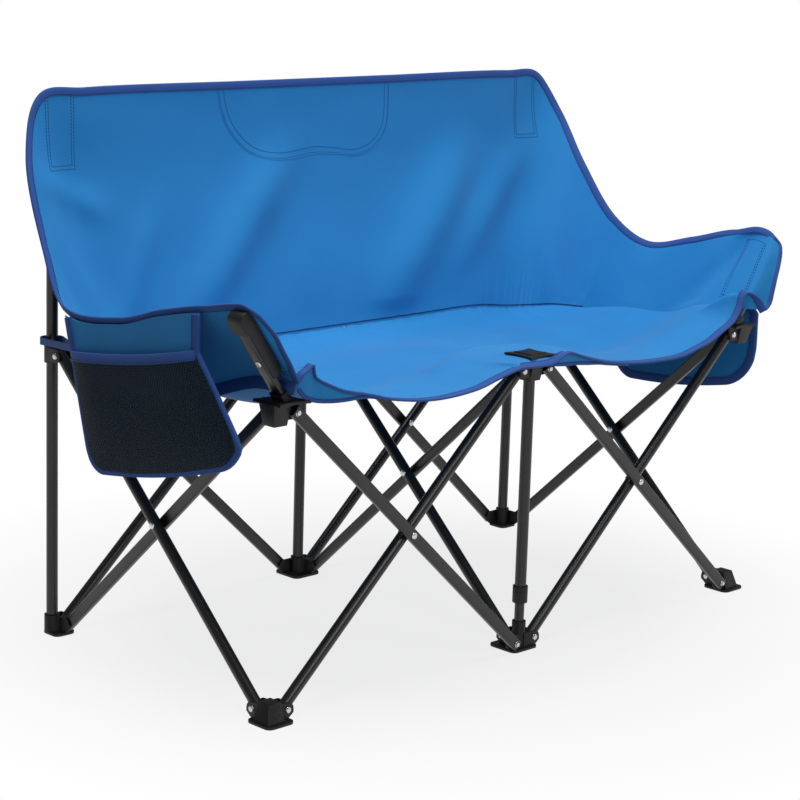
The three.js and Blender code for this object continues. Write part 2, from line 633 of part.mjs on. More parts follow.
// A sheet of cloth: a surface over u and v, with half its thickness on each side
function sheet(surface, steps, rows) {
  const step = 1e-3;
  const columns = STEP_FACETS * steps;
  const count = (columns + 1) * (rows + 1);
  const positions = new Float32Array(count * 6);
  for (let j = 0; j <= rows; j += 1) {
    for (let i = 0; i <= columns; i += 1) {
      const u = i / columns;
      const v = j / rows;
      const alongU = surface(Math.min(u + step, 1), v).sub(surface(Math.max(u - step, 0), v));
      const alongV = surface(u, Math.min(v + step, 1)).sub(surface(u, Math.max(v - step, 0)));
      const lift = alongU.cross(alongV).setLength(CLOTH / 2);
      const at = j * (columns + 1) + i;
      surface(u, v).add(lift).toArray(positions, at * 3);
      surface(u, v).sub(lift).toArray(positions, (at + count) * 3);
    }
  }
  const index = [];
  const quad = (a, b, c, d) => index.push(a, b, c, a, c, d);
  for (let j = 0; j < rows; j += 1) {
    for (let i = 0; i < columns; i += 1) {
      const a = j * (columns + 1) + i;
      const d = a + columns + 1;
      quad(a, a + 1, d + 1, d);
      quad(a + count, d + count, d + 1 + count, a + 1 + count);
    }
  }
  const rim = [];
  for (let i = 0; i < columns; i += 1) rim.push(i);
  for (let j = 0; j < rows; j += 1) rim.push(j * (columns + 1) + columns);
  for (let i = columns; i > 0; i -= 1) rim.push(rows * (columns + 1) + i);
  for (let j = rows; j > 0; j -= 1) rim.push(j * (columns + 1));
  rim.forEach((a, i) => {
    const b = rim[(i + 1) % rim.length];
    quad(a, a + count, b + count, b);
  });
  const geometry = new THREE.BufferGeometry();
  geometry.setAttribute('position', new THREE.BufferAttribute(positions, 3));
  geometry.setIndex(index);
  geometry.computeVertexNormals();
  return geometry;
}

// The sling's wall: arms and back are one surface between a sewn seam below and a bound edge above.
// Both run from the front of the right arm to the middle of the back, in matching steps.
const FRONT_Y = STATION_ROWS.front;
const BACK_Y = STATION_ROWS.rear - UPRIGHT_OD / 2 - SEAT_GAP - CLOTH / 2;
const ARM_CLOTH_IN = ARM_THICK / 2 + SEAT_GAP + GUARD_THICK + CLOTH_GAP + CLOTH / 2;
const ARM_SEAM = armPoint(ARM_SEAM_UP, ARM_CLOTH_IN);
const ARM_TOP = armPoint(ARM_RISE + ARM_CLOTH_OVER, ARM_CLOTH_IN);
const ARM_CORNER_TOP = armPoint(ARM_RISE - ARM_FRONT_DROP, ARM_CLOTH_IN);
const SIDE_X = BAY + SEAT_SIDE_OUT;
const EDGE_X = BAY + ARM_EDGE_OUT;
const CORNER_X = BAY - SEAM_CORNER_IN;
const CORNER_Y = SEAM_Y - SEAM_CORNER_DROP;
const point = (x, y, z) => new THREE.Vector3(x, y, z);

const SEAM = new THREE.CatmullRomCurve3([
  point(ARM_SEAM.x, FRONT_Y - SEAM_FRONT_OUT, ARM_SEAM.z),
  point(ARM_SEAM.x, FRONT_Y * ARM_KNOT, ARM_SEAM.z - SEAM_STEP),
  point(SIDE_X, FRONT_Y * SIDE_KNOT, SEAT_SIDE_Z + SEAM_STEP),
  point(SIDE_X, 0, SEAT_SIDE_Z),
  point(SIDE_X, CORNER_Y - CORNER_RUN, SEAM_CORNER_Z),
  point(CORNER_X, CORNER_Y, SEAM_CORNER_Z),
  point(CORNER_X - CORNER_RUN, (CORNER_Y + SEAM_Y) / 2, SEAM_CORNER_Z),
  point(CORNER_X - 2 * CORNER_RUN, SEAM_Y, SEAM_CORNER_Z),
  point(BAY * BACK_KNOT, SEAM_Y, SEAM_Z),
  point(BAY * MIDDLE_KNOT, SEAM_Y, SEAM_Z),
  point(0, SEAM_Y, SEAM_Z),
]);

function boundEdge({ side, low, corner, cornerAhead, turn, turnAhead, drop, ahead }) {
  return new THREE.CatmullRomCurve3([
    point(ARM_CORNER_TOP.x, FRONT_Y - ARM_FRONT_OUT, ARM_CORNER_TOP.z),
    point(ARM_TOP.x, FRONT_Y * ARM_KNOT, ARM_TOP.z),
    point(EDGE_X, FRONT_Y * SIDE_KNOT, ARM_EDGE_Z + side),
    point(EDGE_X, 0, ARM_EDGE_Z + low),
    point(EDGE_X, BACK_Y - cornerAhead, ARM_EDGE_Z + corner),
    point(EDGE_X, BACK_Y - turnAhead, ARM_EDGE_Z + turn),
    point(EDGE_X, BACK_Y - ahead, BACK_TOP_Z - drop),
    point(BAY + BACK_SHOULDER_OUT, BACK_Y, BACK_TOP_Z - SEAM_STEP),
    point(BAY * EDGE_KNOT, BACK_Y, BACK_TOP_Z),
    point(BAY * MIDDLE_KNOT, BACK_Y, BACK_TOP_Z),
    point(0, BACK_Y, BACK_TOP_Z),
  ]);
}

const EDGES = { left: boundEdge(WINGS.left), right: boundEdge(WINGS.right) };
const STEPS = SEAM.points.length - 1;
const ARM_STEPS = 4; // of those, the arm takes the first
const SEAT_STEPS = 5; // and the seat's side runs a step further
const UPRIGHT_FROM = 5; // past this step the wall stands up against the uprights
const POCKET_SHARE = 1 - SLEEVE_HEIGHT / (BACK_TOP_Z - SEAM_Z);

// step counts from the front of the arm, rise from the seam up
function wall(side, step, rise) {
  const low = SEAM.getPoint(step / STEPS);
  const high = EDGES[side].getPoint(step / STEPS);
  const p = low.clone().lerp(high, rise);
  const stands = smoothstep(step, UPRIGHT_FROM, UPRIGHT_FROM + 2);
  const upright = low.y + (high.y - low.y) * Math.min(1, rise / POCKET_SHARE);
  p.y = Math.min(lerp(p.y, upright, stands), BACK_Y);
  p.x *= side === 'left' ? -1 : 1;
  return p;
}

// A signed run along the whole wall: 0 at the left arm's front, 1 at the right arm's front
function wallAt(run, rise) {
  const across = 2 * run - 1;
  return wall(across < 0 ? 'left' : 'right', STEPS * (1 - Math.abs(across)), rise);
}

const ARM_RUN = ARM_STEPS / (2 * STEPS);
const SPLIT = SEAT_GAP / (2 * BAY); // a narrow gap where two cloth pieces meet
const backRun = (u) => lerp(ARM_RUN, 1 - ARM_RUN, u);
const leftRun = (u) => lerp(0, ARM_RUN - SPLIT, u);
const rightRun = (u) => lerp(1 - ARM_RUN + SPLIT, 1, u);

add('cloth_back', sheet((u, v) => wallAt(backRun(u), v), 2 * (STEPS - ARM_STEPS), BACK_ROWS), BLUE_CLOTH);
add('cloth_arm_left', sheet((u, v) => wallAt(leftRun(u), v), ARM_STEPS, ARM_ROWS), BLUE_CLOTH);
add('cloth_arm_right', sheet((u, v) => wallAt(rightRun(u), v), ARM_STEPS, ARM_ROWS), BLUE_CLOTH);

// The seat spans the seam and hangs between the front hubs
const CLOTH_ON_HUB_Z = HUB_TOP_Z + SEAT_GAP + CLOTH / 2;
const SEAT_CORNER = SEAM.getPoint(0);
const REAR_SHARE = SEAT_STEPS / STEPS;

function seatRear(across) {
  const p = SEAM.getPoint(1 - (1 - REAR_SHARE) * Math.abs(across));
  return point(p.x * Math.sign(across), p.y, p.z);
}

function seatSide(v) {
  return SEAM.getPoint(REAR_SHARE * (1 - v));
}

function seatFront(across) {
  const reach = Math.abs(across);
  const hang = Math.sin(Math.PI * reach) ** 2 * SEAT_DIP;
  const lift = (SEAT_CORNER.z - CLOTH_ON_HUB_Z) * reach ** LIFT_POWER;
  const x = SEAT_CORNER.x * across;
  const onHub = SEAT_HUB_OUT * (1 - smoothstep(Math.abs(x), HUB_PLATE_HALF, 2 * HUB_REST_R));
  const ahead = SEAT_CORNER.y - (SEAT_FRONT_OUT - SEAM_FRONT_OUT) * (1 - reach ** TUCK_POWER) - onHub;
  return point(x, ahead, CLOTH_ON_HUB_Z + lift - hang);
}

function seat(across, v) {
  const side = seatSide(v);
  const corner = seatRear(1).lerp(seatFront(1), v);
  const p = seatRear(across).lerp(seatFront(across), v);
  p.x += (side.x - corner.x) * across;
  p.y += side.y - corner.y;
  p.z += side.z - corner.z;
  p.z -= SEAT_SAG * (1 - across ** SAG_POWER) * Math.sin(Math.PI * v);
  const reach = Math.hypot(p.x, p.y - FRONT_Y);
  const rest = 1 - smoothstep(reach, HUB_REST_R, HUB_FALL_R);
  p.z = lerp(p.z, CLOTH_ON_HUB_Z, rest);
  p.x *= 1 - SEAM_GAP / SIDE_X;
  p.y -= SEAM_GAP * (1 - v);
  return p;
}

const SEAT_ACROSS = 2 * (STEPS - SEAT_STEPS);
const seatHalf = (from, to) => (u, v) => seat(lerp(1, -1, u), lerp(from, to, v));
add('seat_rear', sheet(seatHalf(0, 0.5 - SPLIT), SEAT_ACROSS, SEAT_STEPS), BLUE_CLOTH);
add('seat_front', sheet(seatHalf(0.5 + SPLIT, 1), SEAT_ACROSS, SEAT_STEPS), BLUE_CLOTH);

// Sleeves behind the top of the back take the ends of the uprights
function sleeve() {
  const inner = UPRIGHT_OD / 2 + SEAT_GAP;
  const outer = inner + SLEEVE_WALL;
  const front = -UPRIGHT_OD / 2;
  const back = front + SLEEVE_WALL;
  const innerFrom = Math.asin(front / inner);
  const outerFrom = Math.asin(back / outer);
  const shell = new THREE.Shape();
  shell.moveTo(SLEEVE_WIDTH / 2, front);
  shell.lineTo(SLEEVE_WIDTH / 2, back);
  shell.absarc(0, 0, outer, outerFrom, Math.PI - outerFrom);
  shell.lineTo(-SLEEVE_WIDTH / 2, back);
  shell.lineTo(-SLEEVE_WIDTH / 2, front);
  const lid = shell.clone();
  shell.absarc(0, 0, inner, Math.PI - innerFrom, innerFrom, true);
  const top = UPRIGHT_TOP_Z + SEAT_GAP;
  const tube = extrude(shell, SLEEVE_HEIGHT, SLEEVE_ARC).translate(0, 0, top - SLEEVE_HEIGHT + SLEEVE_WALL);
  const cover = extrude(lid, SLEEVE_WALL, SLEEVE_ARC).translate(0, 0, top);
  return join([solid(tube), solid(cover)]);
}

for (const column of Object.keys(STATION_COLUMNS)) {
  add(`sleeve_${column}`, place(sleeve(), 'rear', column), BLUE_CLOTH);
}

// Side bags: a panel that hangs outside the arm, with an open-topped mesh pocket on it
const BAG_X = EDGE_X + CLOTH / 2 + BAG_GAP + BAG_CLOTH / 2;

// An outline in Y and Z through its corners, each rounded by its own radius
function roundedOutline(corners) {
  const shape = new THREE.Shape();
  corners.forEach(([y, z, radius], i) => {
    const before = corners[(i + corners.length - 1) % corners.length];
    const after = corners[(i + 1) % corners.length];
    const corner = new THREE.Vector2(y, z);
    const toBefore = new THREE.Vector2(before[0], before[1]).sub(corner).normalize();
    const toAfter = new THREE.Vector2(after[0], after[1]).sub(corner).normalize();
    const start = corner.clone().addScaledVector(toBefore, radius);
    const end = corner.clone().addScaledVector(toAfter, radius);
    if (i === 0) {
      shape.moveTo(start.x, start.y);
    } else {
      shape.lineTo(start.x, start.y);
    }
    if (radius > 0) {
      shape.quadraticCurveTo(y, z, end.x, end.y);
    }
  });
  return shape;
}

// A plate drawn in Y and Z, from one X to another
function sidePlate(shape, from, to) {
  const turn = new THREE.Matrix4().makeBasis(point(0, 1, 0), Z_AXIS, point(1, 0, 0));
  return extrude(shape, to - from).applyMatrix4(turn).translate(from, 0, 0);
}

// Front and rear edges of a bag at a height, drawn in by an inset
function bagFrontY({ flare }, z, inset) {
  const share = clamp((BAG_NECK_Z - z) / (BAG_NECK_Z - BAG_FRONT_Z), 0, 1);
  return lerp(BAG_TOP_FRONT_Y, flare, share) + inset;
}

function bagRearY({ rearTop }, z, inset) {
  const share = (ARM_EDGE_Z + rearTop - z) / (ARM_EDGE_Z + rearTop - BAG_BOTTOM_Z);
  return lerp(BAG_TOP_REAR_Y, BAG_BOTTOM_REAR_Y, share) - inset;
}

function pocketOutline(bag, inset) {
  const front = bagFrontY(bag, BAG_FRONT_Z, inset);
  return roundedOutline([
    [bagFrontY(bag, POCKET_FRONT_Z, inset), POCKET_FRONT_Z, 0],
    [front, BAG_FRONT_Z, BAG_CORNER / 3],
    [front + BAG_CORNER / 4, BAG_BOTTOM_FRONT_Z + inset, BAG_CORNER / 4],
    [bagRearY(bag, BAG_BOTTOM_Z, inset), BAG_BOTTOM_Z + inset, BAG_CORNER],
    [bagRearY(bag, POCKET_REAR_Z, inset), POCKET_REAR_Z, 0],
  ]);
}

function bagPanel({ frontTop, rearTop, flare }) {
  const outline = roundedOutline([
    [BAG_TOP_FRONT_Y, ARM_EDGE_Z + frontTop, 0],
    [BAG_TOP_FRONT_Y, BAG_NECK_Z, BAG_NECK_R],
    [flare, BAG_FRONT_Z, BAG_CORNER / 3],
    [flare + BAG_CORNER / 4, BAG_BOTTOM_FRONT_Z, BAG_CORNER / 4],
    [BAG_BOTTOM_REAR_Y, BAG_BOTTOM_Z, BAG_CORNER],
    [BAG_TOP_REAR_Y, ARM_EDGE_Z + rearTop, 0],
  ]);
  return sidePlate(outline, BAG_X - BAG_CLOTH / 2, BAG_X + BAG_CLOTH / 2);
}

function meshPocket(bag) {
  const face = BAG_X + BAG_CLOTH / 2 + SEAT_GAP;
  const whole = solid(sidePlate(pocketOutline(bag, POCKET_INSET), face, face + POCKET_DEPTH + BAG_CLOTH));
  const hollow = pocketOutline(bag, POCKET_INSET + BAG_CLOTH);
  const inside = solid(sidePlate(hollow, face - BAG_CLOTH, face + POCKET_DEPTH));
  const mouth = solid(sidePlate(hollow, face - BAG_CLOTH, face + POCKET_DEPTH).translate(0, 0, POCKET_DEPTH));
  return geometryOf(whole.subtract(inside).subtract(mouth));
}

// A webbing loop ties each bag's rear edge to its upright
function strap(bag) {
  const inner = UPRIGHT_OD / 2 + SEAT_GAP;
  const outer = inner + STRAP_THICK;
  const ring = solid(standing(outer, STRAP_Z, STRAP_Z + STRAP_WIDTH));
  const hole = solid(standing(inner, STRAP_Z - STRAP_WIDTH, STRAP_Z + 2 * STRAP_WIDTH));
  const bagFace = BAG_X - BAG_CLOTH / 2 - SEAT_GAP;
  const end = new THREE.Vector2(bagFace - BAY, bagRearY(bag, STRAP_Z, 0) - STATION_ROWS.rear);
  const tail = new THREE.Shape();
  tail.moveTo(inner, 0);
  tail.lineTo(outer, 0);
  tail.lineTo(end.x, end.y);
  tail.lineTo(end.x, end.y - STRAP_WIDTH);
  tail.lineTo(end.x - STRAP_THICK, end.y - STRAP_WIDTH);
  tail.lineTo(end.x - STRAP_THICK, end.y);
  const band = solid(extrude(tail, STRAP_WIDTH).translate(0, 0, STRAP_Z));
  return geometryOf(join([ring, band]).subtract(hole)).translate(BAY, STATION_ROWS.rear, 0);
}

const SIDE_PIECES = [
  ['bag', bagPanel, BLUE_CLOTH],
  ['pocket', meshPocket, DARK_MESH],
  ['strap', strap, NAVY_WEB],
];
for (const [name, make, material] of SIDE_PIECES) {
  add(`${name}_left`, mirrored(make(BAGS.left)), material);
  add(`${name}_right`, make(BAGS.right), material);
}

export default chair;
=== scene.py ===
"""Folding camping loveseat: finishes, cloth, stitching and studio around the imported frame. Metres, +Z up."""
import functools
import json
import math
from collections import namedtuple

import bmesh
import bpy
from mathutils import Matrix, Quaternion, Vector, noise

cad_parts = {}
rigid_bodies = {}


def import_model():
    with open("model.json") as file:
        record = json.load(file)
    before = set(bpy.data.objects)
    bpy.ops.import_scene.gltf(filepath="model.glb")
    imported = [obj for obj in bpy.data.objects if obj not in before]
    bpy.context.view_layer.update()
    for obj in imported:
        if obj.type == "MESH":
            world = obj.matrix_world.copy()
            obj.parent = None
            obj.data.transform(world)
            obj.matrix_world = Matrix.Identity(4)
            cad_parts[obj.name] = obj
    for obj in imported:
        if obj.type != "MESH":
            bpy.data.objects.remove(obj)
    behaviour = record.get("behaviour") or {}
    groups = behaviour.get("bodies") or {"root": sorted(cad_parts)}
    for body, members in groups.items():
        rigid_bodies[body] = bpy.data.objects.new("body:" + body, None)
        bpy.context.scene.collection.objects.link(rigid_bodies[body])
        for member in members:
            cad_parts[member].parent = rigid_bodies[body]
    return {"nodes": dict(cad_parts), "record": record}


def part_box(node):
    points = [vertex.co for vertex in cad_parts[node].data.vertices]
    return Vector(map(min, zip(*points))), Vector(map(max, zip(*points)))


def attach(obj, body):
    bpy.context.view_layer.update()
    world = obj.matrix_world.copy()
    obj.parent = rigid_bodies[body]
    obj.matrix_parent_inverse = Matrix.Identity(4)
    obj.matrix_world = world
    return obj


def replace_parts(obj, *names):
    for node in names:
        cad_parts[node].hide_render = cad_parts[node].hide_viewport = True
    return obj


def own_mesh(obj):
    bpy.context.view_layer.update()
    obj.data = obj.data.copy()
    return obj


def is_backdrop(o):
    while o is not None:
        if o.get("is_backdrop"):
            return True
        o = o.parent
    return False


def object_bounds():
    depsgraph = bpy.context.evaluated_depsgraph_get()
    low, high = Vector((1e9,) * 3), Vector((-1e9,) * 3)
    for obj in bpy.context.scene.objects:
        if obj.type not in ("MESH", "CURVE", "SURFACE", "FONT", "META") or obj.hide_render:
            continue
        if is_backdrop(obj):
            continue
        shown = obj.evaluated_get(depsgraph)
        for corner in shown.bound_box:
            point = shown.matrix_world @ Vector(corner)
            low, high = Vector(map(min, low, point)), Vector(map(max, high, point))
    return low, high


for start_object in list(bpy.data.objects):
    bpy.data.objects.remove(start_object)
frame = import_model()
cad_low, cad_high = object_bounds()
nodes = frame["nodes"]
body_of = {n: b for b, members in frame["record"]["behaviour"]["bodies"].items() for n in members}


def middle_of(node):
    low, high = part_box(node)
    return (low + high) / 2


# Frame layout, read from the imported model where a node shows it
upright_low, upright_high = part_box("upright_right")
BAY = middle_of("upright_right").x
REAR_ROW = middle_of("upright_right").y
FRONT_ROW = middle_of("post_outer").y
HUB_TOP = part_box("hub_middle")[1].z
UPRIGHT_TOP = upright_high.z
UPRIGHT_R = (upright_high.x - upright_low.x) / 2
FOOT_PIVOT = 0.016
HUB_PIVOT = 0.458
PIVOT_OUT = 0.025  # a pivot from the axis of its station
CROSS_RISE = HUB_PIVOT - FOOT_PIVOT
CROSS_RUN = BAY - 2 * PIVOT_OUT
SIDES = {"left": -1, "right": 1}
COLUMNS = {"left": -BAY, "middle": 0.0, "right": BAY}
ROWS = {"front": FRONT_ROW, "rear": REAR_ROW}

# Tubes, posts and rivets
TUBE_WALL = 0.0012
ROUND_R = 0.009
FLAT_WIDTH = 0.019
FLAT_THICK = 0.011
FLAT_CORNER = 0.0035
TUBE_TIP = 0.006
BORE_DEPTH = 0.03
ARM_WIDTH = 0.022
ARM_THICK = 0.012
ARM_CORNER = 0.004
ARM_LEAN = math.radians(35)
ARM_RISE = 0.148
ARM_INSET = 0.012
ARM_LIFT = 0.002
EAR_GAP = 0.0005
EAR_THICK = 0.0032
HEAD_R = 0.0054
HEAD_RISE = 0.0026
HEAD_FOOT = 0.0006  # how deep a head's rim goes into what it sits on
PIN_R = 0.0026
SCREW_R = 0.0052
SCREW_CROWN = 0.0019
SCREW_RIM = 0.0006
SCREW_RECESS = 0.0012
SCREW_UP = 0.47  # of the arm post
MOULD_EDGE = 0.0007

# Cloth
CLOTH = 0.0016
SOLID_HALF = 0.00125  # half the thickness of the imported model's cloth
CLEAR = 0.0003  # cloth from the tube or plate that it lies on
BACK_FACE = REAR_ROW - UPRIGHT_R - CLEAR - SOLID_HALF  # middle of the back's cloth at the uprights
SEAM_Y = 0.172
SEAM_Z = 0.456
SLEEVE_UNDER = 0.0177  # a sleeve's top below the back's
BACK_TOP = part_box("sleeve_right")[1].z + SLEEVE_UNDER
POCKET_HEIGHT = 0.114
POCKET_WIDTH = 0.052
POCKET_SHARE = 1 - POCKET_HEIGHT / (BACK_TOP - SEAM_Z)
ARM_RUN = 0.2  # an arm's share of the run round the wall
SEAT_SHARE = 0.5  # share of the seam, from its front to the middle of the back, that is a side of the seat
CLOTH_ON_HUB = HUB_TOP + CLEAR + SOLID_HALF
SEAT_DIP = 0.038
SEAT_SAG = 0.014
SEAT_HUB_OUT = 0.006
SEAT_BOW = 0.017  # the loose front edge ahead of the seat's corners
HUB_REST_R = 0.084
HUB_FALL_R = 0.190
HUB_HALF = 0.029
BINDING = 0.0125
ARM_BINDING = 0.0115
FLAP_BINDING = 0.0055
BAG_BINDING = 0.0145
MOUTH_BINDING = 0.014
TAPE_OVER = 0.0012
TAPE_THICK = CLOTH + 0.0022
BAG_TAPE_THICK = CLOTH + 0.0042
STITCH_PITCH = 0.0052
STITCH_LONG = 0.0036
STITCH_R = 0.0007
STITCH_LIFT = CLOTH * 0.6
# Angles over which an edge is drawn crisp
SHARP = 35.0
MOULD_SHARP = 30.0
STRAP_SHARP = 40.0
TAPE_SHARP = 50.0
CLOTH_SHARP = 80.0


def lerp(a, b, share):
    return a + (b - a) * share


def smoothstep(low, high, value):
    share = min(1, max(0, (value - low) / (high - low)))
    return share * share * (3 - 2 * share)


def soft_min(a, b, reach):
    """The smaller of two lengths, rounded off where they cross."""
    share = max(reach - abs(a - b), 0) / reach
    return min(a, b) - share * share * reach / 4


def found(rising, target, near, far, rounds):
    """Where a rising value comes up to a target, by halving."""
    for _ in range(rounds):
        share = (near + far) / 2
        if rising(share) < target:
            near = share
        else:
            far = share
    return near


class Spline:
    """A centripetal curve through points, from 0 at the first to 1 at the last."""

    def __init__(self, *points):
        self.points = [Vector(p) for p in points]

    @functools.lru_cache(maxsize=None)
    def at(self, share):
        points = self.points
        spans = len(points) - 1
        i = min(int(share * spans), spans - 1)
        p1 = points[i]
        p2 = points[i + 1]
        p0 = points[i - 1] if i else 2 * p1 - p2
        p3 = points[i + 2] if i + 2 <= spans else 2 * p2 - p1
        d0, d1, d2 = (math.sqrt((b - a).length) for a, b in ((p0, p1), (p1, p2), (p2, p3)))
        m1 = ((p1 - p0) / d0 - (p2 - p0) / (d0 + d1) + (p2 - p1) / d1) * d1
        m2 = ((p2 - p1) / d1 - (p3 - p1) / (d1 + d2) + (p3 - p2) / d2) * d1
        t = share * spans - i
        rise = 2 * p1 - 2 * p2 + m1 + m2
        curve = -3 * p1 + 3 * p2 - 2 * m1 - m2
        return p1 + t * (m1 + t * (curve + t * rise))


# Shader values and finishes
def operator_for(operation, reflected=False):
    def apply(self, other):
        return self.math(operation, *((other, self) if reflected else (self, other)))
    return apply


class Value:
    """A shader value that takes part in Python expressions: each one adds a Math node."""

    def __init__(self, owner, socket):
        self.owner = owner
        self.socket = socket

    def math(self, operation, *values):
        return self.owner.node("ShaderNodeMath", {"operation": operation}, dict(enumerate(values)))

    __add__ = operator_for("ADD")
    __radd__ = operator_for("ADD", True)
    __sub__ = operator_for("SUBTRACT")
    __rsub__ = operator_for("SUBTRACT", True)
    __mul__ = operator_for("MULTIPLY")
    __rmul__ = operator_for("MULTIPLY", True)
    __truediv__ = operator_for("DIVIDE")
    __gt__ = operator_for("GREATER_THAN")

    def sine(self):
        return self.math("SINE", self)

    def cosine(self):
        return self.math("COSINE", self)

    def clamped(self):
        return self.math("MINIMUM", self.math("MAXIMUM", self, 0.0), 1.0)


class Nodes:
    """A tree of shader nodes that is built from values."""

    def __init__(self, tree):
        self.tree = tree

    def feed(self, node, inputs):
        for key, value in inputs.items():
            socket = node.inputs[key.replace("_", " ") if isinstance(key, str) else key]
            if isinstance(value, Value):
                self.tree.links.new(value.socket, socket)
            else:
                socket.default_value = value

    def node(self, kind, settings=None, inputs=None, output=0):
        made = self.tree.nodes.new(kind)
        for key, value in (settings or {}).items():
            setattr(made, key, value)
        self.feed(made, inputs or {})
        return Value(self, made.outputs[output])

    def rays(self, *kinds):
        """1 for a ray of any of these kinds, else 0."""
        first, *others = [self.node("ShaderNodeLightPath", output=f"Is {kind} Ray") for kind in kinds]
        return sum(others, first).clamped()

    def show(self, share, first, second, end):
        """Mixes two shaders into the tree's output."""
        mixed = self.node("ShaderNodeMixShader", {}, {0: share, 1: first, 2: second})
        self.feed(self.tree.nodes[end], {"Surface": mixed})


class Finish(Nodes):
    """One material: a Principled shader, the nodes that feed it and the slot of the record it stands for."""

    def __init__(self, name, slot, **sockets):
        self.material = bpy.data.materials.new(name)
        self.material.use_nodes = True
        super().__init__(self.material.node_tree)
        self.slot = slot
        self.shader = self.tree.nodes["Principled BSDF"]
        self.feed(self.shader, sockets)

    def place(self, kind="Object"):
        return self.node("ShaderNodeTexCoord", output=kind)

    def stretched(self, place, scale):
        return self.node("ShaderNodeMapping", {}, {"Vector": place, "Scale": scale})

    def noise(self, place, scale, detail=2.0, roughness=0.5):
        inputs = {"Vector": place, "Scale": scale, "Detail": detail, "Roughness": roughness}
        return self.node("ShaderNodeTexNoise", {}, inputs, "Fac")

    def part(self, place, axis):
        return self.node("ShaderNodeSeparateXYZ", {}, {"Vector": place}, axis)

    def mix(self, share, first, second):
        return self.node("ShaderNodeMix", {"data_type": "RGBA"}, {0: share, 6: first, 7: second}, 2)

    def dress(self, colour, roughness, height, distance, strength, **more):
        """Feeds the shader a colour, a roughness and a bump of a height in metres."""
        inputs = {"Height": height, "Distance": distance, "Strength": strength}
        bump = self.node("ShaderNodeBump", {}, inputs)
        self.feed(self.shader, {"Base Color": colour, "Roughness": roughness, "Normal": bump, **more})
        return self


def srgb(red, green, blue):
    """A colour as it looks on screen, from 0 to 255, in the linear values that shaders take."""
    levels = (v / 255 for v in (red, green, blue))
    linear = [v / 12.92 if v <= 0.04045 else ((v + 0.055) / 1.055) ** 2.4 for v in levels]
    return (*linear, 1.0)


def woven(name, slot, light, dark):
    """Woven polyester: slubby threads both ways, and a slow change of tone over the whole cloth."""
    finish = Finish(name, slot, Sheen_Weight=0.14, Sheen_Roughness=0.4, Specular_IOR_Level=0.3)
    place = finish.place("UV")
    thread = 1500.0
    warp, weft = (finish.noise(finish.stretched(place, scale), thread, 3.0, 0.6)
                  for scale in ((1, 0.06, 1), (0.06, 1, 1)))
    threads = (warp + weft) * 0.5
    tone = finish.noise(place, 7.0, 3.0)
    share = (threads * 0.55 + tone * 0.45 - 0.28) * 2.2
    return finish.dress(finish.mix(share.clamped(), dark, light), 0.55 + threads * 0.3, threads, 0.0005, 0.5)


def ribbed_tape(name, slot, light, dark):
    """Woven tape with fine ribs across its length."""
    finish = Finish(name, slot, Sheen_Weight=0.06, Sheen_Roughness=0.4, Specular_IOR_Level=0.25)
    place = finish.place("UV")
    ribs = (finish.part(place, "X") * 4200.0).sine() * 0.5 + 0.5
    slub = finish.noise(place, 700.0)
    share = ribs * 0.5 + slub * 0.6 - 0.1
    return finish.dress(finish.mix(share.clamped(), dark, light), 0.6 + slub * 0.25, ribs + slub, 0.0003, 0.5)


def knitted_mesh(name, slot, light, dark, glint_colour):
    """Knitted mesh: rows of small holes, each row half a pitch along, with painted glints: the yarn round each
    hole is painted paler.
    """
    finish = Finish(name, slot, Specular_IOR_Level=0.15)
    place = finish.place("UV")
    turns = 2 * math.pi / 0.0064  # one turn for each pitch
    across, up = (finish.part(place, axis) * turns for axis in "XY")
    cord = across.cosine() * up.cosine() - finish.noise(place, 900.0) * 0.2
    holes = cord > 0.36
    yarn = finish.noise(place, 500.0, 3.0)
    # Painted glints: a paler colour on the yarn at the rim of each hole
    loops = ((cord - 0.12) * 6.0).clamped()
    colour = finish.mix(loops, finish.mix(yarn, dark, light), glint_colour)
    return finish.dress(colour, 0.55 + yarn * 0.3, 1 - cord, 0.0006, 0.6, Alpha=1 - holes)


def powder_coat(name, slot, light, dark):
    """Satin powder coat on steel: fine orange peel and a slight change of gloss."""
    finish = Finish(name, slot, Specular_IOR_Level=0.5)
    place = finish.place()
    peel = finish.noise(place, 900.0, 3.0)
    tone = finish.noise(place, 22.0, 4.0, 0.6)
    return finish.dress(finish.mix(tone, dark, light), 0.26 + tone * 0.12, peel, 0.000005, 0.2)


def moulded_nylon(name, slot, light, dark):
    """Black nylon with a spark-eroded grain and lighter scuffs."""
    finish = Finish(name, slot, Specular_IOR_Level=0.35)
    place = finish.place()
    grain = finish.noise(place, 1500.0)
    scuff = finish.noise(place, 60.0, 6.0, 0.7)
    worn = ((scuff - 0.55) * 4.0).clamped()
    return finish.dress(finish.mix(worn, dark, light), 0.42 + grain * 0.16, grain, 0.00012, 0.6)


def zinc_plate(name, slot, light, dark):
    """Bright zinc on a pressed rivet head."""
    finish = Finish(name, slot, Metallic=1.0)
    bloom = finish.noise(finish.place(), 420.0, 4.0, 0.6)
    return finish.dress(finish.mix(bloom, dark, light), 0.22 + bloom * 0.2, bloom, 0.00005, 0.5)


BLUE = woven("blue_cloth", "blue_cloth", srgb(28, 128, 193), srgb(16, 112, 177))
NAVY = ribbed_tape("navy_tape", "navy_web", srgb(50, 90, 160), srgb(34, 68, 134))
THREAD = ribbed_tape("navy_thread", "navy_web", srgb(13, 48, 112), srgb(7, 34, 88))
# The mesh's last colour is its painted glint round the holes
MESH = knitted_mesh("dark_mesh", "dark_mesh", srgb(10, 26, 40), srgb(3, 12, 20), srgb(62, 90, 104))
STEEL = powder_coat("black_steel", "black_steel", srgb(27, 27, 29), srgb(17, 17, 18))
NYLON = moulded_nylon("black_plastic", "black_plastic", srgb(26, 26, 28), srgb(14, 14, 15))
ZINC = zinc_plate("zinc", "zinc", srgb(222, 224, 228), srgb(186, 189, 194))


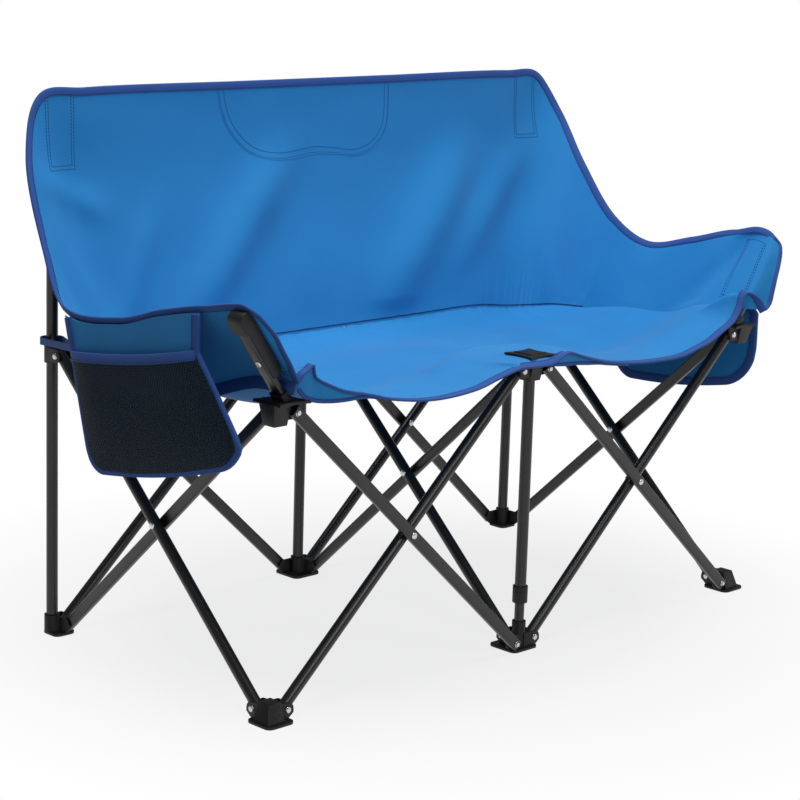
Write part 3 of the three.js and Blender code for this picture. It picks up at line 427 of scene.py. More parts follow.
# Shapes
def placed(name, data):
    made = bpy.data.objects.new(name, data)
    bpy.context.scene.collection.objects.link(made)
    return made


def piece(name, shape, finish, body, sharp=SHARP):
    """A finished shape as an object that moves with a body of the frame. Open borders are crisp."""
    mesh = bpy.data.meshes.new(name)
    for face in shape.faces:
        face.smooth = True
    shape.edges.index_update()
    borders = [e.index for e in shape.edges if e.is_boundary]
    shape.to_mesh(mesh)
    shape.free()
    mesh.set_sharp_from_angle(angle=math.radians(sharp))
    for i in borders:
        mesh.edges[i].use_edge_sharp = True
    mesh.materials.append(finish.material)
    made = placed(name, mesh)
    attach(made, body)
    return made


def verts_of(geometry):
    return [g for g in geometry if isinstance(g, bmesh.types.BMVert)]


def edges_of(geometry):
    return [g for g in geometry if isinstance(g, bmesh.types.BMEdge)]


def outward(shape):
    bmesh.ops.recalc_face_normals(shape, faces=shape.faces[:])


def axes(x, y, z):
    """A turn that lays the three axes along three directions."""
    return Matrix((x, y, z)).transposed().to_4x4()


def facing(point, direction):
    """A place at a point, with its own Z along a direction."""
    return Matrix.Translation(point) @ Vector(direction).to_track_quat("Z", "Y").to_matrix().to_4x4()


def square_to(along, way):
    """A direction turned square to a line."""
    return (way - way.dot(along) * along).normalized()


def mirrored(shape, side):
    if side < 0:
        bmesh.ops.scale(shape, vec=(-1, 1, 1), verts=shape.verts[:])
        bmesh.ops.reverse_faces(shape, faces=shape.faces[:])
    return shape


def sheet_shape(surface, columns, rows, flat):
    """A grid laid on a surface that is given by two shares, with its flat size in the UV map."""
    shape = bmesh.new()
    layer = shape.loops.layers.uv.verify()
    bmesh.ops.create_grid(shape, x_segments=columns, y_segments=rows, size=0.5)
    for face in shape.faces:
        for corner in face.loops:
            across, up = corner.vert.co.xy
            corner[layer].uv = (across * flat[0], up * flat[1])
    for vert in shape.verts:
        across, up = vert.co.xy
        vert.co = surface(across + 0.5, up + 0.5)
    return shape


def skin(rings):
    """A closed skin over rings of points, with the length and the way round in the UV map."""
    shape = bmesh.new()
    layer = shape.loops.layers.uv.verify()
    last = len(rings) - 1
    around = len(rings[0])
    bmesh.ops.create_grid(shape, x_segments=last, y_segments=around, size=0.5)
    lengths = [0.0]
    for before, after in zip(rings, rings[1:]):
        lengths.append(lengths[-1] + (after[0] - before[0]).length)
    girth = sum((rings[0][i] - rings[0][i - 1]).length for i in range(around))
    spots = {v: (round((v.co.x + 0.5) * last), round((v.co.y + 0.5) * around)) for v in shape.verts}
    for face in shape.faces:
        for corner in face.loops:
            along, turn = spots[corner.vert]
            corner[layer].uv = (lengths[along], girth * turn / around)
    for vert, (along, turn) in spots.items():
        vert.co = rings[along][turn % around]
    bmesh.ops.remove_doubles(shape, verts=shape.verts[:], dist=1e-6)
    open_edges = [e for e in shape.edges if e.is_boundary]
    if open_edges:
        bmesh.ops.holes_fill(shape, edges=open_edges)
    outward(shape)
    return shape


Spot = namedtuple("Spot", "point inward normal")


def runs(points):
    """The way that a line of points runs, at each of them."""
    last = len(points) - 1
    return [(points[min(i + 1, last)] - points[max(i - 1, 0)]).normalized() for i in range(last + 1)]


def rim(surface, path, count):
    """Spots along an edge of a surface. path gives the edge and a place a little way in, as shares."""
    pairs = [path(i / count) for i in range(count + 1)]
    points = [surface(*edge) for edge, _ in pairs]
    spots = []
    for point, along, (_, inside) in zip(points, runs(points), pairs):
        inward = square_to(along, surface(*inside) - point)
        spots.append(Spot(point, inward, along.cross(inward)))
    return spots


def on_surface(surface, path, count):
    """Spots along a line on a surface, with the surface's own normal."""
    step = 0.002
    points = []
    normals = []
    for i in range(count + 1):
        u, v = path(i / count)
        du = surface(min(u + step, 1), v) - surface(max(u - step, 0), v)
        dv = surface(u, min(v + step, 1)) - surface(u, max(v - step, 0))
        points.append(surface(u, v))
        normals.append(du.cross(dv).normalized())
    return [Spot(p, n.cross(along).normalized(), n) for p, n, along in zip(points, normals, runs(points))]


def tape_rings(spots, width, over, thick):
    """Sections of a folded tape that takes in an edge."""
    half = thick / 2
    face = ((width, half * 0.4), (width * 0.94, half), (width * 0.45, half * 1.12), (0.0, half),
            (-over * 0.7, half * 0.7))
    section = [*face, (-over, 0.0), *((a, -b) for a, b in reversed(face))]
    return [[s.point + s.inward * a + s.normal * b for a, b in section] for s in spots]


def stitch_row(shape, spots, inset, lift):
    """Stitches along spots, a set way in from them and lifted off the middle of the cloth."""
    points = [s.point + s.inward * inset + s.normal * lift for s in spots]
    size = Matrix.Diagonal((STITCH_LONG / 2, STITCH_R, STITCH_R, 1))
    travel = STITCH_PITCH / 2
    for spot, point, after in zip(spots, points, points[1:]):
        step = after - point
        while travel < step.length:
            along = step.normalized()
            side = spot.normal.cross(along).normalized()
            place = Matrix.Translation(point + along * travel) @ axes(along, side, along.cross(side)) @ size
            bmesh.ops.create_icosphere(shape, subdivisions=1, radius=1, matrix=place)
            travel += STITCH_PITCH
        travel -= step.length


def bar(shape, length, place):
    """A tube drawn up from its section, with a bore in both ends, and moved to its place."""
    made = bmesh.ops.extrude_face_region(shape, geom=shape.faces[:])["geom"]
    bmesh.ops.translate(shape, verts=verts_of(made), vec=(0, 0, length))
    outward(shape)
    for face in [f for f in shape.faces if abs(f.normal.z) > 0.9]:
        inwards = -face.normal
        bmesh.ops.inset_region(shape, faces=[face], thickness=TUBE_WALL)
        made = bmesh.ops.extrude_face_region(shape, geom=[face])["geom"]
        bmesh.ops.delete(shape, geom=[face], context="FACES_ONLY")
        bmesh.ops.translate(shape, verts=verts_of(made), vec=inwards * BORE_DEPTH)
    outward(shape)
    bmesh.ops.transform(shape, matrix=place, verts=shape.verts[:])
    return shape


def round_section(radius):
    shape = bmesh.new()
    bmesh.ops.create_circle(shape, cap_ends=True, segments=32, radius=radius)
    return shape


def flat_section(width, thick, corner):
    shape = bmesh.new()
    bmesh.ops.create_grid(shape, x_segments=1, y_segments=1, size=0.5)
    bmesh.ops.scale(shape, vec=(width, thick, 1), verts=shape.verts[:])
    bmesh.ops.bevel(shape, geom=shape.verts[:], offset=corner, offset_type="OFFSET", segments=6,
                    profile=0.5, affect="VERTICES", material=-1)
    return shape


def turned(shape, profile, place):
    """Adds a solid turned round an axis from points of radius and height."""
    before = set(shape.verts)
    verts = [shape.verts.new((radius, 0, height)) for radius, height in profile]
    edges = [shape.edges.new(pair) for pair in zip(verts, verts[1:])]
    bmesh.ops.spin(shape, geom=verts + edges, cent=(0, 0, 0), axis=(0, 0, 1), angle=2 * math.pi, steps=20,
                   use_merge=True)
    body = [v for v in shape.verts if v not in before]
    bmesh.ops.transform(shape, matrix=place, verts=body)
    bmesh.ops.remove_doubles(shape, verts=body, dist=1e-6)


def rivet_head(shape, point, direction):
    """Adds a pressed rivet head, from its crown to the foot of its rim."""
    steps = 6
    turns = [math.pi / 2 * i / steps for i in range(steps + 1)]
    arc = [(HEAD_R * math.sin(t), HEAD_RISE * math.cos(t) ** 0.7) for t in turns]
    turned(shape, arc + [(HEAD_R, -HEAD_FOOT), (0.0, -HEAD_FOOT)], facing(point, direction))


# Crossed tubes and rivets
Bay = namedtuple("Bay", "name along normal second_flat")
ACROSS = Vector((1, 0, 0))
DEEP = Vector((0, 1, 0))
BAYS = [Bay(f"{row}_{column}", ACROSS, DEEP, True) for row in ROWS for column in SIDES]
BAYS += [Bay("side_" + column, DEEP, ACROSS, column != "middle") for column in COLUMNS]


def tube(node, shape):
    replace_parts(piece(node + "_tube", shape, STEEL, body_of[node]), node)


def cross_tube(node, bay, rise, section):
    axis = bay.along * CROSS_RUN + Vector((0, 0, rise))
    length = axis.length + 2 * TUBE_TIP
    up = axis.normalized()
    turn = axes(bay.normal.cross(up), bay.normal, up)
    place = Matrix.Translation(middle_of(node)) @ turn @ Matrix.Translation((0, 0, -length / 2))
    tube(node, bar(section, length, place))


for bay in BAYS:
    rivet = "rivet_" + bay.name
    second = flat_section(FLAT_WIDTH, FLAT_THICK, FLAT_CORNER) if bay.second_flat else round_section(ROUND_R)
    cross_tube("riser_" + bay.name, bay, CROSS_RISE, round_section(ROUND_R))
    cross_tube("strut_" + bay.name, bay, -CROSS_RISE, second)
    low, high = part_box(rivet)
    centre = (low + high) / 2
    half = (high - low).dot(bay.normal) / 2 - HEAD_RISE
    heads = bmesh.new()
    for sense in (-1, 1):
        rivet_head(heads, centre + bay.normal * sense * half, bay.normal * sense)
    turned(heads, [(0.0, half), (PIN_R, half), (PIN_R, -half), (0.0, -half)], facing(centre, bay.normal))
    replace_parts(piece(rivet + "_heads", heads, ZINC, body_of[rivet]), rivet)

# Uprights, the telescoping post and the leaning arm posts
STANDING = {f"upright_{column}": (x, REAR_ROW) for column, x in COLUMNS.items()}
STANDING |= {"post_outer": (0, FRONT_ROW), "post_inner": (0, FRONT_ROW)}
for node, (x, y) in STANDING.items():
    low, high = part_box(node)
    section = round_section((high.x - low.x) / 2)
    tube(node, bar(section, high.z - low.z, Matrix.Translation((x, y, low.z))))

ARM_UP = Vector((math.sin(ARM_LEAN), 0, math.cos(ARM_LEAN)))
ARM_IN = Vector((-math.cos(ARM_LEAN), 0, math.sin(ARM_LEAN)))
ARM_ROOT = Vector((BAY - ARM_INSET, FRONT_ROW, HUB_TOP + ARM_LIFT))
ARM_TURN = Matrix.Translation(ARM_ROOT) @ axes(ARM_IN, ARM_UP.cross(ARM_IN), ARM_UP)


def arm_point(up, inwards):
    return ARM_ROOT + ARM_UP * up + ARM_IN * inwards


def cross_head_screw(place):
    """A domed screw with a cross recess."""
    shape = bmesh.new()
    arm = SCREW_R * 0.55
    slot = SCREW_R * 0.17
    corners = ((slot, arm), (-slot, arm), (-slot, slot), (-arm, slot), (-arm, -slot), (-slot, -slot),
               (-slot, -arm), (slot, -arm), (slot, -slot), (arm, -slot), (arm, slot), (slot, slot))
    cross = [shape.verts.new((x, y, SCREW_CROWN)) for x, y in corners]
    cross_edges = [shape.edges.new((cross[i - 1], cross[i])) for i in range(len(cross))]
    ring = bmesh.ops.create_circle(shape, segments=24, radius=SCREW_R * 0.75,
                                   matrix=Matrix.Translation((0, 0, SCREW_CROWN)))["verts"]
    flank = list({e for v in ring for e in v.link_edges})
    bmesh.ops.triangle_fill(shape, edges=cross_edges + flank, use_beauty=True, normal=(0, 0, 1))
    sunk = bmesh.ops.extrude_edge_only(shape, edges=cross_edges)["geom"]
    bmesh.ops.translate(shape, verts=verts_of(sunk), vec=(0, 0, -SCREW_RECESS))
    bmesh.ops.contextual_create(shape, geom=edges_of(sunk))
    for height in (SCREW_RIM, -HEAD_FOOT):
        made = bmesh.ops.extrude_edge_only(shape, edges=flank)["geom"]
        flank = edges_of(made)
        for vert in verts_of(made):
            vert.co = Vector((*(vert.co.xy.normalized() * SCREW_R), height))
    bmesh.ops.transform(shape, matrix=place, verts=shape.verts[:])
    outward(shape)
    return shape


for side, sense in SIDES.items():
    node = "arm_post_" + side
    tube(node, mirrored(bar(flat_section(ARM_THICK, ARM_WIDTH, ARM_CORNER), ARM_RISE, ARM_TURN), sense))
    screw = cross_head_screw(facing(arm_point(ARM_RISE * SCREW_UP, -ARM_THICK / 2), -ARM_IN))
    piece("arm_screw_" + side, mirrored(screw, sense), ZINC, body_of[node])

# Moulded pieces keep their solids' shapes, with eased edges
MOULDINGS = ("foot_", "hub_", "slider_", "arm_guard_", "post_ferrule", "seat_cap")
for node in nodes:
    if node.startswith(MOULDINGS):
        shape = bmesh.new()
        shape.from_mesh(nodes[node].data)
        bmesh.ops.remove_doubles(shape, verts=shape.verts[:], dist=2e-6)
        bmesh.ops.dissolve_limit(shape, angle_limit=math.radians(1), verts=shape.verts[:],
                                 edges=shape.edges[:])
        crisp = [e for e in shape.edges if e.is_manifold and e.calc_face_angle(0) > math.radians(40)]
        bmesh.ops.bevel(shape, geom=crisp, offset=MOULD_EDGE, offset_type="OFFSET", segments=2, profile=0.5,
                        affect="EDGES", clamp_overlap=True, material=-1)
        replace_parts(piece(node + "_moulding", shape, NYLON, body_of[node], MOULD_SHARP), node)

# Zinc heads of the pivot rivets, on the ears and on the outsides of the struts
FORK = ROUND_R + EAR_GAP + EAR_THICK
pivot_heads = {}
for bay in BAYS:
    thick = FLAT_THICK if bay.second_flat else 2 * ROUND_R
    riser = middle_of("riser_" + bay.name)
    strut = middle_of("strut_" + bay.name)
    strut_side = math.copysign(1, (strut - riser).dot(bay.normal))
    for sense in (-1, 1):
        for level in (-1, 1):
            on_riser = sense == level
            reach = -FORK if on_riser else strut_side * thick / 2
            spot = (riser if on_riser else strut) + bay.along * CROSS_RUN / 2 * sense
            spot += Vector((0, 0, CROSS_RISE / 2 * level)) + bay.normal * reach
            column = min(COLUMNS, key=lambda c: abs(COLUMNS[c] - spot.x))
            row = min(ROWS, key=lambda r: abs(ROWS[r] - spot.y))
            kind = "foot_" + row if level < 0 else "hub" if row == "front" else "slider"
            heads = pivot_heads.setdefault(f"{kind}_{column}", bmesh.new())
            rivet_head(heads, spot, bay.normal * math.copysign(1, reach))
for node, heads in pivot_heads.items():
    outward(heads)
    piece(node + "_rivets", heads, ZINC, body_of[node])

# The sling's wall, from the front of the left arm round the back to the front of the right arm
GUARD_DEEP = 0.008
GUARD_SKIN = 0.0025
ARM_SEAM = arm_point(0.020, ARM_THICK / 2 + CLEAR + GUARD_DEEP + GUARD_SKIN + SOLID_HALF)
SIDE_X = BAY + 0.011
SIDE_Z = 0.462
EDGE_X = BAY + 0.074
TURN_X = BAY + 0.032  # where the bound edge turns into the back's top
CORNER_X = BAY - 0.018
CORNER_Y = SEAM_Y - 0.032
CORNER_Z = 0.447
CORNER_RUN = 0.045
SMALL_STEP = 0.006
ARM_EDGE_Z = 0.577  # the right arm's bound edge at its lowest
ARM_FRONT_REACH = 0.09  # share of the run over which an arm's cloth is drawn to its front edge
ARM_CURL_REACH = 0.018  # and turned aside to it, ahead of the guard
ARM_ROUND_RUN = 0.1  # share of a side's run that the round of the arm's top takes
SEAM = Spline(
    (ARM_SEAM.x, FRONT_ROW - SMALL_STEP, ARM_SEAM.z),
    (ARM_SEAM.x, FRONT_ROW * 0.76, ARM_SEAM.z - SMALL_STEP),
    (SIDE_X, FRONT_ROW * 0.38, SIDE_Z + SMALL_STEP),
    (SIDE_X, 0, SIDE_Z),
    (SIDE_X, CORNER_Y - CORNER_RUN, CORNER_Z),
    (CORNER_X, CORNER_Y, CORNER_Z),
    (CORNER_X - CORNER_RUN, (CORNER_Y + SEAM_Y) / 2, CORNER_Z),
    (CORNER_X - 2 * CORNER_RUN, SEAM_Y, CORNER_Z),
    (BAY * 0.64, SEAM_Y, SEAM_Z),
    (BAY * 0.32, SEAM_Y, SEAM_Z),
    (0, SEAM_Y, SEAM_Z),
)
# Front edge of each arm's cloth from the seat's corner up, and the round from there on to the arm's top
ARM_FRONTS = {
    "left": Spline((0.513, -0.295, 0.504), (0.520, -0.295, 0.516), (0.529, -0.294, 0.533),
                   (0.542, -0.293, 0.553), (0.555, -0.292, 0.574), (0.571, -0.290, 0.592),
                   (0.583, -0.289, 0.604), (0.594, -0.286, 0.613)),
    "right": Spline((0.547, -0.312, 0.502), (0.558, -0.313, 0.512), (0.564, -0.313, 0.530),
                    (0.572, -0.312, 0.555), (0.582, -0.310, 0.580), (0.588, -0.307, 0.599),
                    (0.591, -0.302, 0.610), (0.588, -0.293, 0.621)),
}
ARM_ROUNDS = {
    "left": Spline((0.594, -0.286, 0.613), (0.598, -0.272, 0.619), (0.599, -0.242, 0.616),
                   (0.602, -0.2014, 0.608)),
    "right": Spline((0.588, -0.293, 0.621), (0.590, -0.278, 0.630), (0.592, -0.252, 0.634),
                    (0.600, -0.2014, 0.6225)),
}
# Knots of the bound edge above its lowest point and ahead of the back. It hangs lower on the left.
Wing = namedtuple("Wing", "side low corner corner_ahead turn turn_ahead drop ahead")
WINGS = {
    "left": Wing(0.011, -0.016, -0.016, 0.116, 0.063, 0.068, 0.097, 0.026),
    "right": Wing(0.020, 0.0, 0.037, 0.172, 0.129, 0.091, 0.077, 0.029),
}
EDGES = {}
for side, wing in WINGS.items():
    EDGES[side] = Spline(
        ARM_ROUNDS[side].points[0],
        ARM_ROUNDS[side].points[-1],
        (EDGE_X, FRONT_ROW * 0.38, ARM_EDGE_Z + wing.side),
        (EDGE_X, 0, ARM_EDGE_Z + wing.low),
        (EDGE_X, BACK_FACE - wing.corner_ahead, ARM_EDGE_Z + wing.corner),
        (EDGE_X, BACK_FACE - wing.turn_ahead, ARM_EDGE_Z + wing.turn),
        (EDGE_X, BACK_FACE - wing.ahead, BACK_TOP - wing.drop),
        (TURN_X, BACK_FACE, BACK_TOP - SMALL_STEP),
        (BAY * 0.9, BACK_FACE, BACK_TOP),
        (BAY * 0.32, BACK_FACE, BACK_TOP),
        (0, BACK_FACE, BACK_TOP),
    )

Fold = namedtuple("Fold", "top bottom half_width height")
BACK_FOLDS = (
    Fold((-0.100, 0.720), (-0.300, 0.520), 0.040, 0.019),
    Fold((0.330, 0.700), (0.150, 0.520), 0.050, 0.021),
    Fold((0.500, 0.716), (0.330, 0.560), 0.034, 0.010),
    Fold((-0.370, 0.656), (-0.450, 0.506), 0.026, 0.008),
    Fold((-0.580, 0.736), (-0.470, 0.686), 0.025, 0.007),
)
# The hollow behind the right arm's post, across Y and up
ARM_HOLLOW = (Fold((-0.240, 0.610), (-0.150, 0.500), 0.024, 0.013),)
BEND_SHARE = 0.36  # how softly the back's cloth bends back from the uprights' pockets
BEND_REACH = 0.012  # and how softly it meets the uprights
WALL_RIPPLE = 0.0022
WALL_PUCKER = 0.0013


def fold_height(folds, across, up):
    """How far soft folds stand out at a place, each tapering to its two ends."""
    height = 0.0
    for fold in folds:
        run = Vector(fold.bottom) - Vector(fold.top)
        away = Vector((across, up)) - Vector(fold.top)
        share = away.dot(run) / run.length_squared
        off = abs(away.cross(run)) / run.length
        taper = smoothstep(-0.45, 0.25, share) * smoothstep(1.5, 0.75, share)
        height += fold.height * taper * math.exp(-((off / fold.half_width) ** 2))
    return height


def arm_front(side, step, rise):
    """How far an arm's cloth is drawn to its front edge."""
    straight = SEAM.at(0.0).lerp(ARM_ROUNDS[side].at(0.0), rise)
    drawn = ARM_FRONTS[side].at(rise) - straight
    ahead = max(0, 1 - step / ARM_FRONT_REACH) ** 2
    aside = smoothstep(ARM_CURL_REACH, 0, step)
    return Vector((drawn.x * aside, drawn.y * ahead, drawn.z * aside))


def wall(run, rise):
    """run goes from the left arm's front to the right one's, and rise from the seam to the bound edge."""
    across = 2 * run - 1
    step = 1 - abs(across)
    side = "left" if across < 0 else "right"
    low = SEAM.at(step)
    high = EDGES[side].at(step) if step > ARM_ROUND_RUN else ARM_ROUNDS[side].at(step / ARM_ROUND_RUN)
    point = low.lerp(high, rise) + arm_front(side, step, rise)
    stands = smoothstep(0.5, 0.7, step)
    upright = lerp(low.y, high.y, soft_min(1, rise / POCKET_SHARE, BEND_SHARE))
    point.y = soft_min(lerp(point.y, upright, stands), BACK_FACE, BEND_REACH)
    point.x = math.copysign(point.x, across)
    free = smoothstep(0, 0.1, rise) * smoothstep(1, 0.85, rise)
    point.y -= fold_height(BACK_FOLDS, point.x, point.z) * free * stands
    if across > 0:
        point.x += fold_height(ARM_HOLLOW, point.y, point.z) * free * (1 - stands)
    ripple = noise.noise(Vector((point.x * 9, point.y * 9, point.z * 9)))
    pucker = noise.noise(Vector((run * 160, rise * 5, 3))) * smoothstep(0.22, 0, rise)
    swell = WALL_RIPPLE * ripple * free + WALL_PUCKER * pucker
    point.y -= swell * stands
    point.x -= math.copysign(swell, across) * (1 - stands)
    return point


# Tape on the seam under each arm: how far down it starts, its width and the share of the run at its front end
SeamTape = namedtuple("SeamTape", "drop width start")
SEAM_TAPES = {"left": SeamTape(0.001, 0.018, 0.002), "right": SeamTape(0.003, 0.012, 0.03)}
SEAM_TAPE_END = 0.21
SEAM_TAPE_THICK = 0.0034
SEAM_TAPE_SPOTS = 90
SEAM_TAPE_SPLAY = 0.35  # how far it hangs outwards for its drop
ARM_POCKET_ROWS = (-0.281, -0.277, -0.237, -0.232)  # sewn rows of the arm post's pocket, along Y
ARM_POCKET_RISES = (0.09, 0.13, 0.84)
ARM_GRID = (110, 44)
ARM_UV = (0.39, 0.145)
BACK_GRID = (300, 100)
BACK_UV = (1.62, 0.40)
CLOSER = 1.6  # columns of an arm's cloth lie closer towards its front, and rows of the seat's towards its hem


def back_surface(u, v):
    return wall(lerp(ARM_RUN, 1 - ARM_RUN, u), v)


def gather_arm(made):
    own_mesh(made)


def gather_back(made):
    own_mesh(made)


def cloth(name, surface, grid, flat, body, node=None, gather=None, finish=BLUE, thick=CLOTH):
    """A sheet on a surface, in place of a node."""
    made = piece(name, sheet_shape(surface, *grid, flat), finish, body, CLOTH_SHARP)
    layer = made.modifiers.new("thickness", "SOLIDIFY")
    layer.thickness = thick
    layer.offset = 0
    if gather:
        gather(made)
    if node:
        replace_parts(made, node)
    return made


def tape(name, spots, width, over, thick, finish, body, gather):
    made = piece(name, skin(tape_rings(spots, width, over, thick)), finish, body, TAPE_SHARP)
    gather(made)
    return made


def stitching(name, rows, body, gather=None):
    """Rows of stitches, each with its spots, its inset from them and its lift off the middle of the cloth."""
    shape = bmesh.new()
    for spots, inset, lift in rows:
        stitch_row(shape, spots, inset, lift)
    made = piece("stitching_" + name, shape, THREAD, body, CLOTH_SHARP)
    if gather:
        gather(made)
    return made


def bound(name, spots, body, gather, width=BINDING, thick=TAPE_THICK):
    """A folded tape along an edge, with a row of stitches on each face."""
    binding = tape("binding_" + name, spots, width, TAPE_OVER, thick, NAVY, body, gather)
    rows = [(spots, width * 0.8, face * thick * 0.56) for face in (-1, 1)]
    return [binding, stitching(name, rows, body, gather)]


def sewn_lines(name, lines, body, gather):
    """Rows of stitches on both faces of a sheet."""
    rows = [(spots, 0, face * STITCH_LIFT) for spots in lines for face in (-1, 1)]
    return stitching(name, rows, body, gather)


back = cloth("back_cloth", back_surface, BACK_GRID, BACK_UV, "rear_middle", "cloth_back", gather_back)
top_rim = rim(back_surface, lambda t: ((t, 1.0), (t, 0.985)), 420)
bound("back", top_rim, "rear_middle", gather_back)


def back_place(x, z):
    """The two shares of the wall at a place on the back, as seen from the front."""
    run = 0.5 + 0.28 * x
    rise = (z - SEAM_Z) / (BACK_TOP - SEAM_Z)
    step = 1e-3
    for _ in range(6):
        here = wall(run, rise)
        by_run = (wall(run + step, rise) - here) / step
        by_rise = (here - wall(run, rise - step)) / step
        miss = Vector((x - here.x, 0, z - here.z))
        spread = by_run.x * by_rise.z - by_run.z * by_rise.x
        run += (miss.x * by_rise.z - miss.z * by_rise.x) / spread
        rise += (by_run.x * miss.z - by_run.z * miss.x) / spread
    return run, rise


# Outline of the sewn patch, across and up
PATCH = Spline(
    (-0.213, 0.862), (-0.208, 0.835), (-0.195, 0.802), (-0.171, 0.772), (-0.141, 0.751), (-0.100, 0.741),
    (-0.050, 0.741), (0.0, 0.745), (0.050, 0.742), (0.100, 0.738), (0.142, 0.752), (0.166, 0.776),
    (0.175, 0.806), (0.178, 0.862),
)
PATCH_MIDDLE = Vector((-0.02, 0.900))
SEWN_TOP = BACK_TOP - 0.010  # sewn lines end under the binding
SEAM_SHADE_WIDTH = 0.0018
PATCH_LINE = 0.0022
POCKET_IN = 0.003  # the middle of an upright's pocket from the upright
PocketLine = namedtuple("PocketLine", "half_width lift")
POCKET_LINES = (PocketLine(0.0265, 0), PocketLine(0.0215, 0.006))


def patch_row(inset):
    """Spots along the patch's outline, drawn towards its middle by an inset."""
    def path(t):
        point = PATCH.at(t)
        point = point + (PATCH_MIDDLE - point).normalized() * inset
        return back_place(point.x, min(point.y, SEWN_TOP))
    return on_surface(wall, path, 160)


def pocket_row(middle, line):
    """Spots down one side of an upright's pocket, across its lower end and up the other side."""
    low = SEWN_TOP - POCKET_HEIGHT + line.lift
    first = middle - line.half_width
    last = middle + line.half_width
    corners = ((first, SEWN_TOP), (first, low), (last, low), (last, SEWN_TOP))

    def path(t):
        i = min(int(t * 3), 2)
        return back_place(*(lerp(a, b, t * 3 - i) for a, b in zip(corners[i], corners[i + 1])))
    return on_surface(wall, path, 120)


seam_row = on_surface(wall, lambda t: (lerp(ARM_RUN, 1 - ARM_RUN, t), 0.010), 300)
# A thin dark strip in thread colour along the seam of back and seat: painted shade of the seam's crease, laid
# on the real seam
tape("back_seam", seam_row, SEAM_SHADE_WIDTH, 0.0, CLOTH + 0.0014, THREAD, "rear_middle", gather_back)
tape("patch_edge", patch_row(0), PATCH_LINE, 0.0, CLOTH + 0.0012, BLUE, "rear_middle", gather_back)
sewn_lines("patch", [patch_row(0.003), patch_row(0.0125)], "rear_middle", gather_back)
for side, sense in SIDES.items():
    lines = [pocket_row(sense * (BAY - POCKET_IN), line) for line in POCKET_LINES]
    sewn_lines("upright_pocket_" + side, lines, "rear_middle", gather_back)

for side, sense in SIDES.items():
    body = "hub_" + side

    def from_front(u, v):
        return (u if sense < 0 else 1 - u), v

    def surface(u, v):
        u, v = from_front(u, v)
        return wall(*from_front(ARM_RUN * u ** CLOSER, v))

    def arm_edge(t):
        """Along the arm's top to its front corner, then down its front."""
        if t < 0.6:
            u = 1 - t / 0.6
            return from_front(u, 1.0), from_front(max(u, 0.3), 0.75)
        v = (1 - t) / 0.4
        return from_front(0.0, v), from_front(0.3, min(v, 0.75))

    def arm_place(y, rise):
        """The two shares of the wall where the arm's cloth has a given Y."""
        step = found(lambda s: wall(*from_front(s / 2, rise)).y, y, 0.0, 0.2, 14)
        return from_front(step / 2, rise)

    arm = cloth("arm_cloth_" + side, surface, ARM_GRID, ARM_UV, body, "cloth_arm_" + side, gather_arm)
    trim = bound("arm_" + side, rim(surface, arm_edge, 220), body, gather_arm, ARM_BINDING)
    low, _, top = ARM_POCKET_RISES
    ends = [((y, low), (y, top)) for y in ARM_POCKET_ROWS]
    ends += [((ARM_POCKET_ROWS[0], rise), (ARM_POCKET_ROWS[-1], rise)) for rise in ARM_POCKET_RISES]
    lines = []
    for first, last in ends:
        def path(t):
            return arm_place(*(lerp(a, b, t) for a, b in zip(first, last)))
        lines.append(on_surface(wall, path, 40))
    trim.append(sewn_lines("arm_pocket_" + side, lines, body, gather_arm))
    seam = SEAM_TAPES[side]
    spots = []
    for i in range(SEAM_TAPE_SPOTS + 1):
        steps = (lerp(seam.start, SEAM_TAPE_END, i / SEAM_TAPE_SPOTS + on) for on in (0, 0.01))
        here, ahead = (wall(*from_front(step, 0)) for step in steps)
        along = (ahead - here).normalized()
        hang = square_to(along, Vector((sense * SEAM_TAPE_SPLAY, 0, -1)))
        spots.append(Spot(here + hang * seam.drop, hang, along.cross(hang)))
    tape("seam_tape_" + side, spots, seam.width, 0.0, SEAM_TAPE_THICK, NAVY, body, gather_arm)

# The seat, sewn to the wall's seam and hung between the front hubs
SEAT_CORNER = SEAM.at(0.0)
SEAT_RIPPLE = 0.002
SEAT_PUCKER = 0.0015


def seat_rear_edge(across):
    point = SEAM.at(1 - (1 - SEAT_SHARE) * abs(across)).copy()
    point.x = math.copysign(point.x, across)
    return point


def seat_front_edge(across):
    reach = abs(across)
    hang = math.sin(math.pi * reach) ** 2 * SEAT_DIP
    lift = (SEAT_CORNER.z - CLOTH_ON_HUB) * reach ** 6
    x = SEAT_CORNER.x * across
    on_hub = SEAT_HUB_OUT * smoothstep(2 * HUB_REST_R, HUB_HALF, abs(x))
    ahead = SEAT_CORNER.y - SEAT_BOW * (1 - reach ** 8) - on_hub
    return Vector((x, ahead, CLOTH_ON_HUB + lift - hang))


